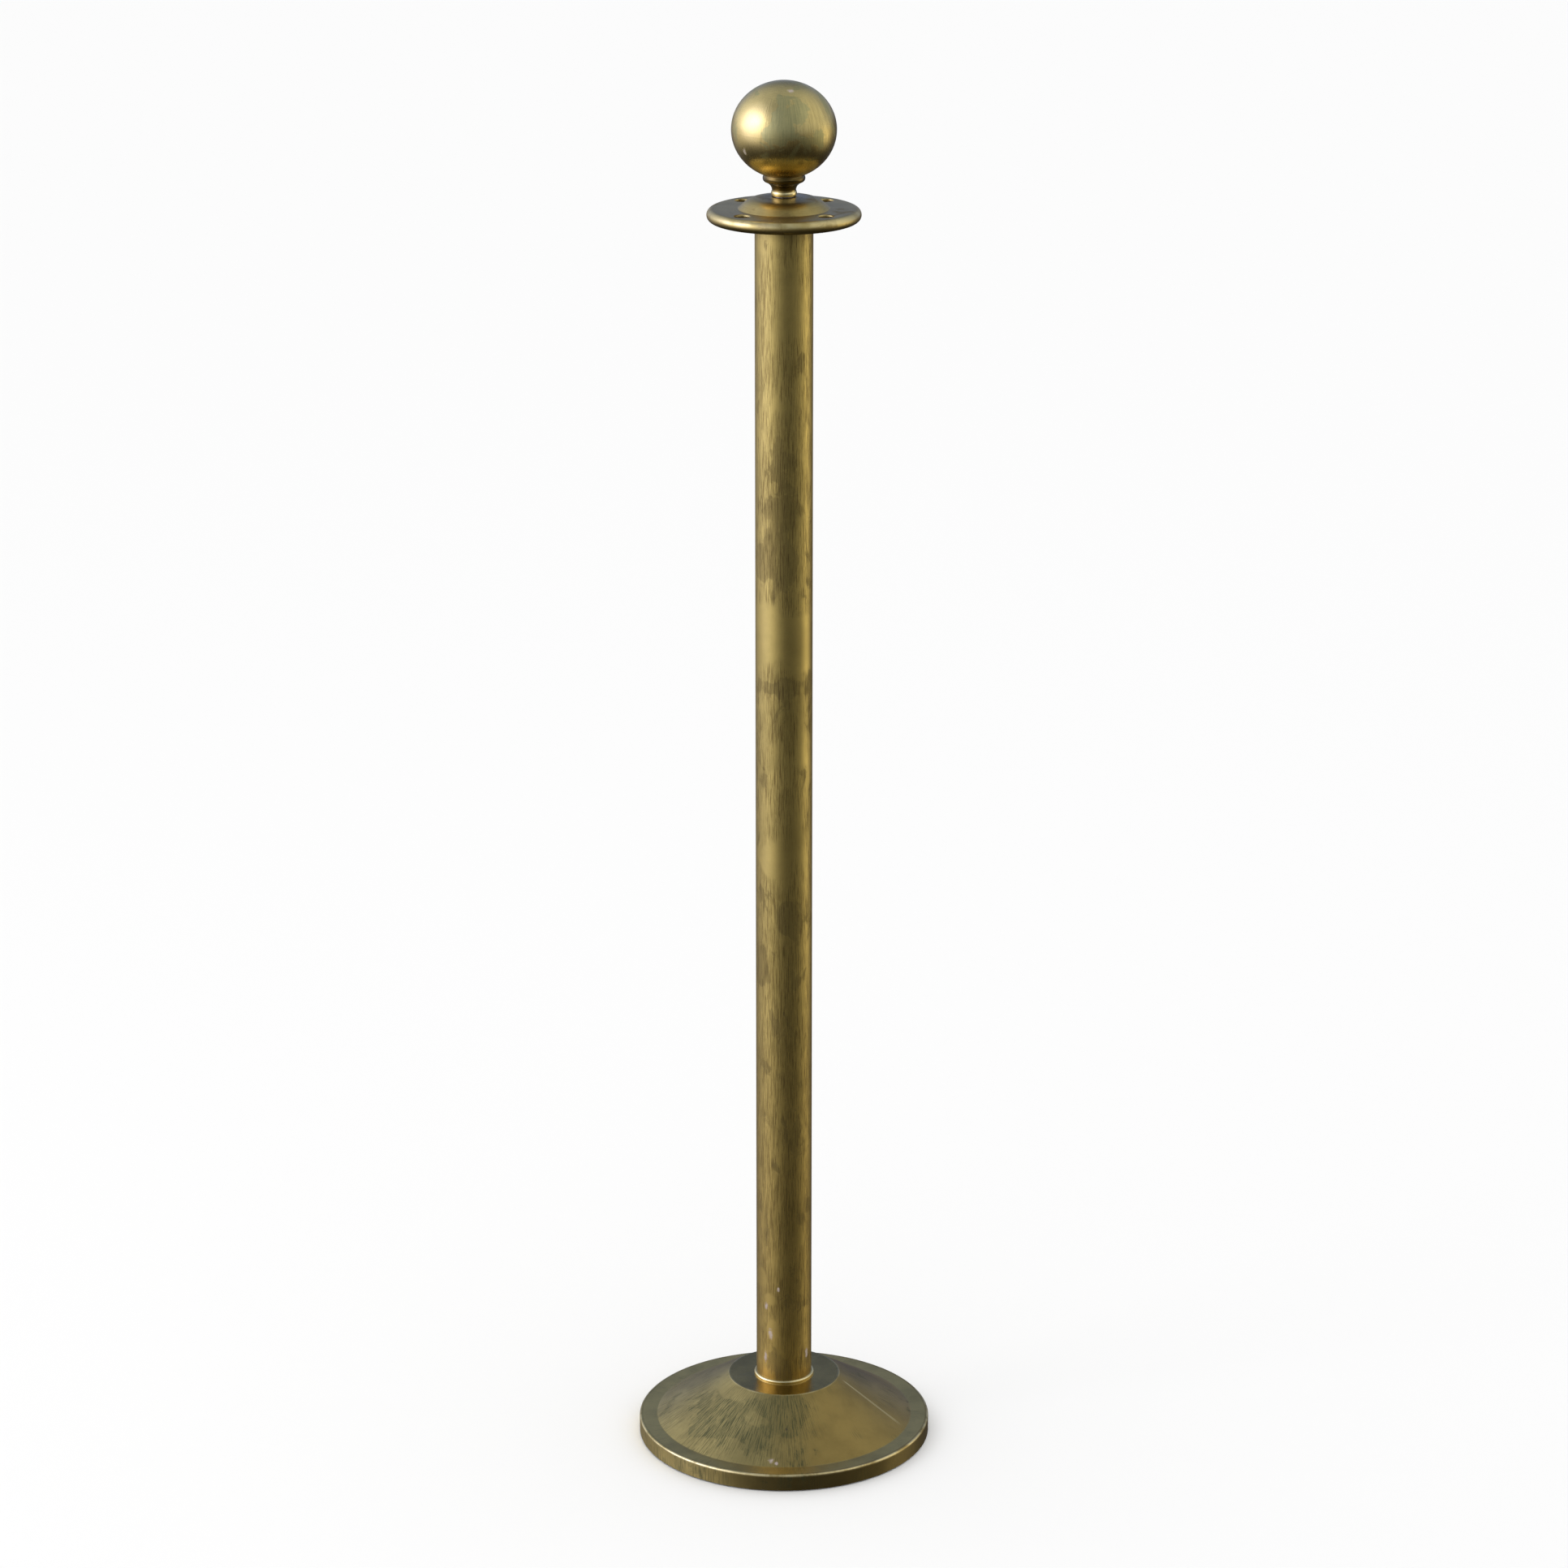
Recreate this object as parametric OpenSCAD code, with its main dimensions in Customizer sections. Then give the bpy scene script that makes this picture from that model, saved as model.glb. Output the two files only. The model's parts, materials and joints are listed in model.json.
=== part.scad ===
// Rope barrier stanchion: weighted round base, brass post, free-turning rope collar
// with four hook holes, and a hollow ball finial that screws into the top of the post.
// Z is up, the origin is on the floor at the middle of the base, and sizes are millimetres.

/* [Base] */
// Outer radius of the base cover
base_r = 106; // [95:1:125]
// Height of the upright skirt round the base
skirt_h = 12; // [9:0.5:18]
// Radius where the cone of the base meets its flat rim
cone_foot_r = 93.1; // [85:0.1:94]
// Radius of the flat land under the post
land_r = 40.2; // [32:0.1:60]
// Height of the cone from the rim to the land
cone_h = 32.1; // [26:0.1:45]
// Sheet thickness of the spun base cover
cover_t = 1.5; // [1:0.1:2]
// Rounding of the skirt's top edge
skirt_edge_r = 1.2; // [0.6:0.1:2]
// Thickness of the rubber floor pad
pad_t = 3; // [2.5:0.5:4]
// How far the floor pad stands below the skirt
pad_proud = 1; // [0.5:0.1:1.5]
// Radius of the pad's middle hole, which clears a box spanner
pad_hole_r = 24; // [22:1:40]

/* [Post] */
// Outer radius of the post tube
tube_r = 20; // [19:0.5:22]
// Wall of the post tube
tube_t = 1.5; // [1:0.1:2]
// Length of the post tube
tube_len = 854; // [700:1:900]
// Outer radius of the trim ring round the foot of the post
foot_ring_r = 21.7; // [21.4:0.1:26]
// Height of that trim ring
foot_ring_h = 2; // [1.5:0.1:3]
// Height of the two plugs brazed into the tube's ends
plug_h = 30; // [26:1:40]

/* [Foot bolt] */
// Radius of the foot bolt over its thread
bolt_r = 6; // [5:0.5:6]
// Pitch of the foot bolt's thread
bolt_pitch = 1.75; // [1.5:0.25:1.75]
// Width of the foot bolt's head across its flats
bolt_flats = 18; // [17:1:19]
// Height of the foot bolt's head
bolt_head_h = 7.5; // [7:0.1:8]
// Length of the foot bolt under its head
bolt_len = 55; // [50:5:60]

/* [Rope collar] */
// Outer radius of the collar's plate
collar_r = 52.7; // [50:0.1:56]
// Thickness of the plate
collar_t = 8.7; // [6:0.1:9.5]
// Radius of the boss where it rises from the plate
boss_foot_r = 31.4; // [28:0.1:32]
// Radius of the boss's shoulder
boss_shoulder_r = 24; // [18:0.1:25]
// Height of the boss's shoulder above the plate
boss_shoulder_h = 6.7; // [5:0.1:7.5]
// Height of the boss above the plate
boss_h = 8.4; // [8:0.1:12]
// Diameter of the circle that the hook holes lie on
hole_circle_d = 80; // [78:1:82]
// Radius of a hook hole
hole_r = 5.25; // [4.5:0.05:5.5]
// Bevel of a hook hole's two lips
hole_lip = 0.7; // [0.3:0.1:0.9]
// Number of hook holes
hole_count = 4; // [2:1:4]

/* [Finial] */
// Widest radius of the ball
ball_r = 35.8; // [33:0.1:38]
// Height from the ball's middle to its top
ball_half_h = 33.1; // [31:0.1:36]
// Sheet thickness of the ball's two shells
ball_t = 1.2; // [1:0.1:1.5]
// Height of the ball's middle above the foot of the neck
ball_lift = 44.9; // [44.5:0.1:45.5]
// Radius of the stud over its thread
stud_r = 5; // [4:0.5:5.5]
// Pitch of the stud's thread
stud_pitch = 1.5; // [1.25:0.25:1.75]
// Whole turns between the finial tight and the finial free
turns = 10; // [8:1:10]

/* [Hidden] */
$fn = 96;

eps = 0.01;              // overlap that keeps a cut clear of a face
fit = 0.05;              // radial clearance of a brazed, threaded or turning fit
brass = [0.72, 0.60, 0.34];
dark_brass = [0.55, 0.46, 0.27];
iron = [0.22, 0.22, 0.23];
steel = [0.62, 0.63, 0.65];
rubber = [0.06, 0.06, 0.06];
nylon = [0.88, 0.86, 0.80];

// Levels of the base
z_skirt = pad_proud;
z_rim = z_skirt + skirt_h;
z_land = z_rim + cone_h;
cone_slope = atan(cone_h / (cone_foot_r - land_r));
corner_shift = cover_t * tan(cone_slope / 2);
weight_gap = 0.4;

// Foot bolt and what it passes
bolt_clear_r = bolt_r + 0.75;
flat_washer_t = 2.5;
spring_washer_t = 3;
counterbore_r = 20;
z_head = pad_t;
z_bearing = z_head + bolt_head_h;
z_counterbore = z_bearing + spring_washer_t + flat_washer_t;

// Top of the post
z_tube_top = z_land + tube_len;
thrust_t = 1;
turn_gap = 0.1;          // play above and below the turning collar
spigot_r = 7.5;
z_thrust_top = z_tube_top + thrust_t;

// Rope collar
under_gap = 0.3;         // daylight between the tube's end and the collar's plate
z_plate = z_tube_top + under_gap;
z_plate_top = z_plate + collar_t;
z_boss_top = z_plate_top + boss_h;
recess_r = 19.8;
z_recess = z_thrust_top + turn_gap;
bush_r = 10.5;
bush_bore_r = spigot_r + fit;
boss_lip_r = spigot_r + 0.4;
boss_lip_h = 2.9;
z_bush_top = z_boss_top - boss_lip_h - turn_gap;
z_bush = z_recess + fit;

// Finial
z_spigot_top = z_boss_top + 0.3;
z_neck = z_spigot_top + turn_gap;
z_ball = z_neck + ball_lift;
washer_t = 1;
stud_hole_depth = turns * stud_pitch + 8;
z_stud = z_spigot_top - turns * stud_pitch - 1;
seat_r = 11.1;           // hole in the lower shell, round the neck's spigot
z_shell_rest = z_ball - ellipse_drop(14.9, ball_r - ball_t, ball_half_h - ball_t);
clamp_t = 2;
nut_flats = 16;
nut_h = 8;
z_stud_top = z_shell_rest + clamp_t + nut_h + 4;

// Depth below an ellipse's middle of its point at radius r
function ellipse_drop(r, a, b) = b * sqrt(1 - (r / a) * (r / a));

// Points along an arc of an ellipse, from angle a0 to a1
function arc(c, rx, ry, a0, a1, n = 12) =
    [for (i = [0 : n]) let (a = a0 + (a1 - a0) * i / n) [c[0] + rx * cos(a), c[1] + ry * sin(a)]];

// Outline of a screw thread drawn as rings, from z0 up to z1, at major radius r
function thread_points(r, pitch, z0, z1) =
    let (depth = 0.54 * pitch, n = floor((z1 - z0) / pitch))
    [for (i = [0 : n - 1]) each [[r, z0 + i * pitch + 0.1 * pitch],
                                 [r - depth, z0 + (i + 0.5) * pitch],
                                 [r, z0 + i * pitch + 0.9 * pitch]]];

module turned(points) {
    rotate_extrude() polygon(points);
}

module ring(r_out, r_in, z0, h) {
    translate([0, 0, z0]) difference() {
        cylinder(r = r_out, h = h);
        translate([0, 0, -eps]) cylinder(r = r_in, h = h + 2 * eps);
    }
}

module hexagon(flats, z0, h) {
    translate([0, 0, z0]) cylinder(r = flats / 2 / cos(30), h = h, $fn = 6);
}

// Spun brass cover: skirt, flat rim, cone and land, with a hole for the foot bolt
module base_cover() {
    color(brass) turned(concat(
        [[base_r, z_skirt]],
        arc([base_r - skirt_edge_r, z_rim - skirt_edge_r], skirt_edge_r, skirt_edge_r, 0, 90, 6),
        [[cone_foot_r, z_rim],
         [land_r, z_land],
         [bolt_clear_r, z_land],
         [bolt_clear_r, z_land - cover_t],
         [land_r - corner_shift, z_land - cover_t],
         [cone_foot_r - corner_shift, z_rim - cover_t],
         [base_r - cover_t, z_rim - cover_t],
         [base_r - cover_t, z_skirt]]));
}

// Cast-iron ballast that fills the cover, with a counterbored hole for the foot bolt
module base_weight() {
    inset = corner_shift + weight_gap;
    z_shoulder = z_rim - cover_t - weight_gap;
    color(iron) turned(
        [[counterbore_r, pad_t],
         [base_r - cover_t - weight_gap, pad_t],
         [base_r - cover_t - weight_gap, z_shoulder],
         [cone_foot_r - inset, z_shoulder],
         [land_r - inset, z_land - cover_t],
         [bolt_clear_r, z_land - cover_t],
         [bolt_clear_r, z_counterbore],
         [counterbore_r, z_counterbore]]);
}

// Rubber ring bonded under the ballast
module floor_pad() {
    pad_r = base_r - cover_t - 1.5;
    color(rubber) turned(
        [[pad_hole_r, 0],
         [pad_r - 0.6, 0],
         [pad_r, 0.6],
         [pad_r, pad_t],
         [pad_hole_r, pad_t]]);
}

// Trim ring with a rounded face, round the foot of the post
module foot_ring() {
    inner_r = tube_r + fit;
    width = foot_ring_r - inner_r;
    color(brass) turned(concat(
        [[inner_r, z_land],
         [foot_ring_r, z_land]],
        arc([inner_r, z_land + foot_ring_h * 0.35], width, foot_ring_h * 0.65, 0, 90, 8)));
}

module base_bolt() {
    tip = 1;
    z_tip = z_bearing + bolt_len;
    color(steel) union() {
        hexagon(bolt_flats, z_head, bolt_head_h);
        turned(concat(
            [[0, z_bearing - 1],
             [bolt_r, z_bearing - 1]],
            thread_points(bolt_r, bolt_pitch, z_land - 6, z_tip - tip),
            [[bolt_r - tip, z_tip],
             [0, z_tip]]));
    }
}

module base_flat_washer() {
    color(steel) ring(12, bolt_r + 0.5, z_counterbore - flat_washer_t, flat_washer_t);
}

// Split ring that keeps the bolt tight
module base_spring_washer() {
    outer_r = 10.5;
    slit = 1.6;
    lean = 20;
    color(steel) difference() {
        ring(outer_r, bolt_r + 0.1, z_bearing, spring_washer_t);
        translate([bolt_r - 1, -slit / 2, z_bearing - 1])
            rotate([lean, 0, 0]) cube([outer_r, slit, spring_washer_t + 3]);
    }
}

module post_tube() {
    color(brass) ring(tube_r, tube_r - tube_t, z_land, tube_len);
}

// Threaded plug brazed into the foot of the tube
module lower_plug() {
    plug_r = tube_r - tube_t - fit;
    color(steel) turned(
        [[bolt_r + fit, z_land],
         [plug_r, z_land],
         [plug_r, z_land + plug_h - 1],
         [plug_r - 1, z_land + plug_h],
         [bolt_r + fit, z_land + plug_h]]);
}

// Plug brazed into the top of the tube, with the spigot that the collar turns on
module upper_plug() {
    plug_r = tube_r - tube_t - fit;
    socket_r = stud_r + fit;
    z_socket = z_spigot_top - stud_hole_depth;
    color(steel) turned(
        [[0, z_tube_top - plug_h],
         [plug_r - 1, z_tube_top - plug_h],
         [plug_r, z_tube_top - plug_h + 1],
         [plug_r, z_tube_top],
         [spigot_r, z_tube_top],
         [spigot_r, z_spigot_top],
         [socket_r, z_spigot_top],
         [socket_r, z_socket],
         [0, z_socket - socket_r * tan(31)]]);
}

module thrust_washer() {
    color(nylon) ring(recess_r - 0.3, spigot_r + 0.1, z_tube_top, thrust_t);
}

// Cast collar: half-round plate with hook holes, and a two-cone boss
module rope_collar() {
    edge_r = collar_t / 2;
    color(dark_brass) difference() {
        turned(concat(
            [[recess_r, z_plate]],
            arc([collar_r - edge_r, z_plate + edge_r], edge_r, edge_r, -90, 90, 16),
            [[boss_foot_r, z_plate_top],
             [boss_shoulder_r, z_plate_top + boss_shoulder_h],
             [boss_lip_r, z_boss_top],
             [boss_lip_r, z_boss_top - boss_lip_h],
             [bush_r, z_boss_top - boss_lip_h],
             [bush_r, z_recess],
             [recess_r, z_recess]]));
        for (i = [0 : hole_count - 1])
            rotate([0, 0, 45 + i * 360 / hole_count]) translate([hole_circle_d / 2, 0, 0]) {
                translate([0, 0, z_plate - 1]) cylinder(r = hole_r, h = collar_t + 2);
                translate([0, 0, z_plate_top - hole_lip])
                    cylinder(r1 = hole_r, r2 = hole_r + hole_lip + 0.1, h = hole_lip + 0.1);
                translate([0, 0, z_plate - 0.1])
                    cylinder(r1 = hole_r + hole_lip + 0.1, r2 = hole_r, h = hole_lip + 0.1);
            }
    }
}

module collar_bush() {
    color(nylon) ring(bush_r, bush_bore_r, z_bush, z_bush_top - z_bush);
}

// Fibre washer held in the neck's recess, which bears on the spigot's end
module finial_washer() {
    color(dark_brass) ring(spigot_r - 0.3, stud_r + 0.08, z_spigot_top + fit, washer_t);
}

// Turned neck: foot bead, waist, cove and upper bead, with a spigot that centres the ball
module finial_neck() {
    foot_r = 8.8;
    foot_w = 0.6;
    foot_half_h = 1.7;
    waist_r = foot_r - foot_w;
    bead_r = 14.5;
    bead_top_r = 13.9;
    bead_w = 2.2;
    bead_half_h = 2.7;
    cove_w = 9;
    cove_h = 6.4;
    washer_room = spigot_r - 0.1;
    z_cove = z_neck + 3.9;
    z_bead = z_neck + 12.1;
    z_room = z_spigot_top + fit + washer_t + fit;
    z_top = z_shell_rest - 0.4;
    seat_out = -acos(bead_top_r / (ball_r + fit));
    seat_in = -acos((seat_r - fit) / (ball_r + fit));
    color(brass) turned(concat(
        [[washer_room, z_neck]],
        arc([waist_r, z_neck + foot_half_h], foot_w, foot_half_h, -90, 90, 12),
        arc([waist_r + cove_w, z_cove], cove_w, cove_h, 180, 120, 10),
        arc([bead_r - bead_w, z_bead], bead_w, bead_half_h, -70, 40, 10),
        arc([0, z_ball], ball_r + fit, ball_half_h + fit, seat_out, seat_in, 3),
        [[seat_r - fit, z_top],
         [stud_r + fit, z_top],
         [stud_r + fit, z_room],
         [washer_room, z_room]]));
}

module finial_stud() {
    tip = 0.9;
    color(steel) turned(concat(
        [[0, z_stud],
         [stud_r - tip, z_stud]],
        thread_points(stud_r, stud_pitch, z_stud + tip, z_stud_top - tip),
        [[stud_r - tip, z_stud_top],
         [0, z_stud_top]]));
}

module ball_lower_shell() {
    inner_a = ball_r - ball_t;
    inner_b = ball_half_h - ball_t;
    outer_hole = -acos(seat_r / ball_r);
    inner_hole = -acos(seat_r / inner_a);
    color(brass) turned(concat(
        arc([0, z_ball], ball_r, ball_half_h, outer_hole, 0, 24),
        arc([0, z_ball], inner_a, inner_b, 0, inner_hole, 24)));
}

module ball_upper_shell() {
    color(brass) turned(concat(
        arc([0, z_ball], ball_r, ball_half_h, 0, 90, 30),
        arc([0, z_ball], ball_r - ball_t, ball_half_h - ball_t, 90, 0, 30)));
}

// Ring inside the ball that the two shells are brazed to
module ball_ferrule() {
    half_h = 3;
    color(brass) ring(ball_r - ball_t - 0.2, ball_r - ball_t - 1.4, z_ball - half_h, 2 * half_h);
}

module ball_clamp_washer() {
    color(steel) ring(14.8, stud_r + 0.3, z_shell_rest, clamp_t);
}

module ball_nut() {
    color(steel) difference() {
        hexagon(nut_flats, z_shell_rest + clamp_t, nut_h);
        translate([0, 0, z_shell_rest]) cylinder(r = stud_r + fit, h = clamp_t + nut_h + 1);
    }
}

base_cover();
base_weight();
floor_pad();
foot_ring();
base_bolt();
base_flat_washer();
base_spring_washer();
post_tube();
lower_plug();
upper_plug();
thrust_washer();
rope_collar();
collar_bush();
finial_washer();
finial_neck();
finial_stud();
ball_lower_shell();
ball_upper_shell();
ball_ferrule();
ball_clamp_washer();
ball_nut();
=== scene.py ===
"""Rope barrier stanchion in aged brass: the looks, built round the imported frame.

The stand, the turning rope collar and the screw-on ball finial are each a class that turns its
pieces on a lathe, as they were made, and dresses them in a finish.
"""

import json
import logging
import math
from dataclasses import dataclass, field
from enum import Enum
from functools import reduce

import bmesh
import bpy
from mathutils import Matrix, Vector


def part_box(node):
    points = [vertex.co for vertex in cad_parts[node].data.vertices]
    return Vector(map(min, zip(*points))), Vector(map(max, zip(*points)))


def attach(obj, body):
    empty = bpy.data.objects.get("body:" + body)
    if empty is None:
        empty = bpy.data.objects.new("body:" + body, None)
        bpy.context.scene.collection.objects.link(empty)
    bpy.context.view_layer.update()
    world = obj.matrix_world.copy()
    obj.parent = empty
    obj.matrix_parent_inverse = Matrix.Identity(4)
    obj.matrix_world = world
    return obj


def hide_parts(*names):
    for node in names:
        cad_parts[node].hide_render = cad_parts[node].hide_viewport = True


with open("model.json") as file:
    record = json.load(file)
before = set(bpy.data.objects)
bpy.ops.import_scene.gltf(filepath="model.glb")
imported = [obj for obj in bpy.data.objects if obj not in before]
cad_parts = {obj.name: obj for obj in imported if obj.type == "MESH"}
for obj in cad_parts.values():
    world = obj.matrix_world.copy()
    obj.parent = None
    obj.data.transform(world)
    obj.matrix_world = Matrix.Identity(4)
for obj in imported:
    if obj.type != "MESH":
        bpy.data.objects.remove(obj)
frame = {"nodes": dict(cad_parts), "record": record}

log = logging.getLogger("stanchion")

MM = 0.001
ON_AXIS = 1e-7
STRAIGHT = 1e-4

Point = tuple[float, float]
Place = tuple[float, float, float]
Colour = tuple[float, float, float]
Face = tuple[int, ...]
Socket = bpy.types.NodeSocket
Value = float | Socket

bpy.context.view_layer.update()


# ---------------------------------------------------------------------------------------------
# Outlines and turning
# ---------------------------------------------------------------------------------------------


@dataclass
class Outline:
    """The half section of a turned piece, as points of (radius, height) in metres."""

    points: list[Point] = field(default_factory=list)

    def to(self, radius: float, height: float) -> "Outline":
        """Adds a sharp point."""
        self.points.append((radius, height))
        return self

    def arc(self, centre: Point, reach: Point, start: float, end: float, steps: int = 10) -> "Outline":
        """Adds an arc of an ellipse.

        Args:
            centre: The middle of the ellipse.
            reach: Its half width and half height.
            start: The angle of the first point, in degrees.
            end: The angle of the last point, in degrees.
            steps: How many steps the arc is divided into.

        Returns:
            The outline itself, so that calls can be chained.
        """
        for i in range(steps + 1):
            a = math.radians(start + (end - start) * i / steps)
            self.points.append((centre[0] + reach[0] * math.cos(a), centre[1] + reach[1] * math.sin(a)))
        return self

    def corners(self, corners: list[tuple[float, float, float]], steps: int = 6) -> "Outline":
        """Adds points whose corners are rounded.

        Args:
            corners: (radius, height, rounding) of each corner; a rounding of 0 stays sharp.
            steps: How many steps each rounding is divided into.

        Returns:
            The outline itself.
        """
        places = [Vector((r, z)) for r, z, _ in corners]
        for i, (r, z, rounding) in enumerate(corners):
            if rounding <= 0 or i in (0, len(corners) - 1):
                self.points.append((r, z))
                continue
            here = places[i]
            back = (places[i - 1] - here).normalized()
            ahead = (places[i + 1] - here).normalized()
            half = back.angle(ahead) / 2
            if abs(half - math.pi / 2) < STRAIGHT:
                self.points.append((r, z))
                continue
            leg = rounding / math.tan(half)
            middle = here + (back + ahead).normalized() * rounding / math.sin(half)
            first = here + back * leg - middle
            last = here + ahead * leg - middle
            turn = first.angle_signed(last)
            for k in range(steps + 1):
                a = -turn * k / steps
                x = first.x * math.cos(a) - first.y * math.sin(a)
                y = first.x * math.sin(a) + first.y * math.cos(a)
                self.points.append((middle.x + x, middle.y + y))
        return self

    def supported(self, margin: float = 0.35 * MM, longest: float = 12 * MM) -> list[Point]:
        """The points, with more of them on long straight runs so that shading stays even.

        Args:
            margin: How far from a run's ends its first and last extra points stand.
            longest: The longest step that is left on a straight run.

        Returns:
            The closed outline's points in order.
        """
        out: list[Point] = []
        count = len(self.points)
        for i, start in enumerate(self.points):
            end = self.points[(i + 1) % count]
            run = math.dist(start, end)
            out.append(start)
            if start[0] < ON_AXIS and end[0] < ON_AXIS:
                continue
            if run > 4 * margin:
                stops = [margin / run]
                parts = max(1, math.ceil((run - 2 * margin) / longest))
                stops += [(margin + (run - 2 * margin) * k / parts) / run for k in range(1, parts)]
                stops.append(1 - margin / run)
                out += [tuple(start[j] + (end[j] - start[j]) * t for j in (0, 1)) for t in stops]
        return out


@dataclass(frozen=True)
class Lathe:
    """Turns closed outlines into solid meshes round the Z axis.

    Attributes:
        segments: How many flat sides a turned piece has.
        crease: Edges that bend by more degrees than this stay sharp.
    """

    segments: int = 160
    crease: float = 32.0

    def turn(self, name: str, outline: Outline) -> bpy.types.Object:
        """Makes one turned piece.

        Args:
            name: The new object's name.
            outline: Its closed half section.

        Returns:
            The new object, in the scene, with smooth shading and sharp creases.
        """
        points = outline.supported()
        verts: list[Place] = []
        rows: list[list[int]] = []
        for radius, height in points:
            first = len(verts)
            if radius < ON_AXIS:
                verts.append((0.0, 0.0, height))
                rows.append([first] * self.segments)
                continue
            for k in range(self.segments):
                a = 2 * math.pi * k / self.segments
                verts.append((radius * math.sin(a), -radius * math.cos(a), height))
            rows.append(list(range(first, first + self.segments)))
        faces: list[Face] = []
        for i, row in enumerate(rows):
            after = rows[(i + 1) % len(rows)]
            for k in range(self.segments):
                n = (k + 1) % self.segments
                ring = (row[k], row[n], after[n], after[k])
                corners = tuple(dict.fromkeys(ring))
                if len(corners) > 2:
                    faces.append(corners)
        return finished_mesh(name, verts, faces, self.crease)


def finished_mesh(name: str, verts: list[Place], faces: list[Face],
                  crease: float = 32.0) -> bpy.types.Object:
    """Puts a mesh in the scene with outward normals and smooth shading.

    Args:
        name: The new object's name.
        verts: Its points.
        faces: Its faces, as tuples of point numbers.
        crease: Edges that bend by more degrees than this stay sharp.

    Returns:
        The new object.
    """
    mesh = bpy.data.meshes.new(name)
    mesh.from_pydata(verts, [], faces)
    mesh.validate()
    obj = bpy.data.objects.new(name, mesh)
    bpy.context.scene.collection.objects.link(obj)
    face_outwards(obj)
    smooth(obj, crease)
    return obj


def face_outwards(obj: bpy.types.Object) -> None:
    """Turns every face of a closed mesh to look outwards.

    Args:
        obj: The object whose mesh is changed.
    """
    work = bmesh.new()
    work.from_mesh(obj.data)
    bmesh.ops.recalc_face_normals(work, faces=work.faces)
    if work.calc_volume(signed=True) < 0:
        bmesh.ops.reverse_faces(work, faces=work.faces)
    work.to_mesh(obj.data)
    work.free()


def smooth(obj: bpy.types.Object, crease: float) -> None:
    """Shades a mesh smooth, with edges over crease degrees left sharp."""
    obj.data.shade_smooth()
    obj.data.set_sharp_from_angle(angle=math.radians(crease))


def threaded_rod(radius: float, pitch: float, low: float, high: float,
                 tip: float) -> tuple[list[Place], list[Face]]:
    """A right-hand screw thread on a solid rod.

    Args:
        radius: The radius over the thread's crests.
        pitch: The rise of one turn.
        low: The height of the lower end.
        high: The height of the upper end.
        tip: The bevel at both ends.

    Returns:
        The points and the faces of a closed mesh.
    """
    around, per_pitch, depth = 48, 10, 0.54 * pitch
    steepness, root = 2.6, 0.15
    count = max(2, round((high - low) / pitch * per_pitch))
    verts: list[Place] = [(0.0, 0.0, low)]
    for i in range(count + 1):
        z = low + (high - low) * i / count
        bevel = max(0.0, tip - min(z - low, high - z))
        for k in range(around):
            turn = k / around
            phase = ((z - low) / pitch - turn) % 1.0
            flank = min(1.0, max(0.0, steepness * abs(phase - 0.5) - root))
            r = min(radius - depth + depth * flank, radius - bevel)
            a = 2 * math.pi * turn
            verts.append((r * math.cos(a), r * math.sin(a), z))
    verts.append((0.0, 0.0, high))
    faces: list[Face] = []
    last = len(verts) - 1
    for k in range(around):
        n = (k + 1) % around
        faces.append((0, 1 + n, 1 + k))
        faces.append((last, 1 + count * around + k, 1 + count * around + n))
        for i in range(count):
            a, b = 1 + i * around, 1 + (i + 1) * around
            faces.append((a + k, a + n, b + n, b + k))
    return verts, faces


def hexagon_head(flats: float, low: float, high: float) -> tuple[list[Place], list[Face]]:
    """A hexagon bolt head whose lower corners are bevelled as they are when it is turned.

    Args:
        flats: The width across the flats.
        low: The height of the head's outer face.
        high: The height of its bearing face.

    Returns:
        The points and the faces of a closed mesh.
    """
    around, circle, slope = 120, 0.475 * flats, math.tan(math.radians(30))
    rings: list[list[Place]] = [[], [], []]
    for k in range(around):
        a = 2 * math.pi * k / around
        edge = flats / 2 / math.cos((a % (math.pi / 3)) - math.pi / 6)
        x, y = math.cos(a + math.pi / 6), math.sin(a + math.pi / 6)
        rings[0].append((circle * x, circle * y, low))
        rings[1].append((edge * x, edge * y, low + (edge - circle) * slope))
        rings[2].append((edge * x, edge * y, high))
    verts = [(0.0, 0.0, low), *rings[0], *rings[1], *rings[2], (0.0, 0.0, high)]
    faces: list[Face] = []
    last = len(verts) - 1
    for k in range(around):
        n = (k + 1) % around
        faces.append((0, 1 + n, 1 + k))
        for i in range(2):
            a, b = 1 + i * around, 1 + (i + 1) * around
            faces.append((a + k, a + n, b + n, b + k))
        faces.append((1 + 2 * around + k, 1 + 2 * around + n, last))
    return verts, faces


# ---------------------------------------------------------------------------------------------
# Finishes
# ---------------------------------------------------------------------------------------------


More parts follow.
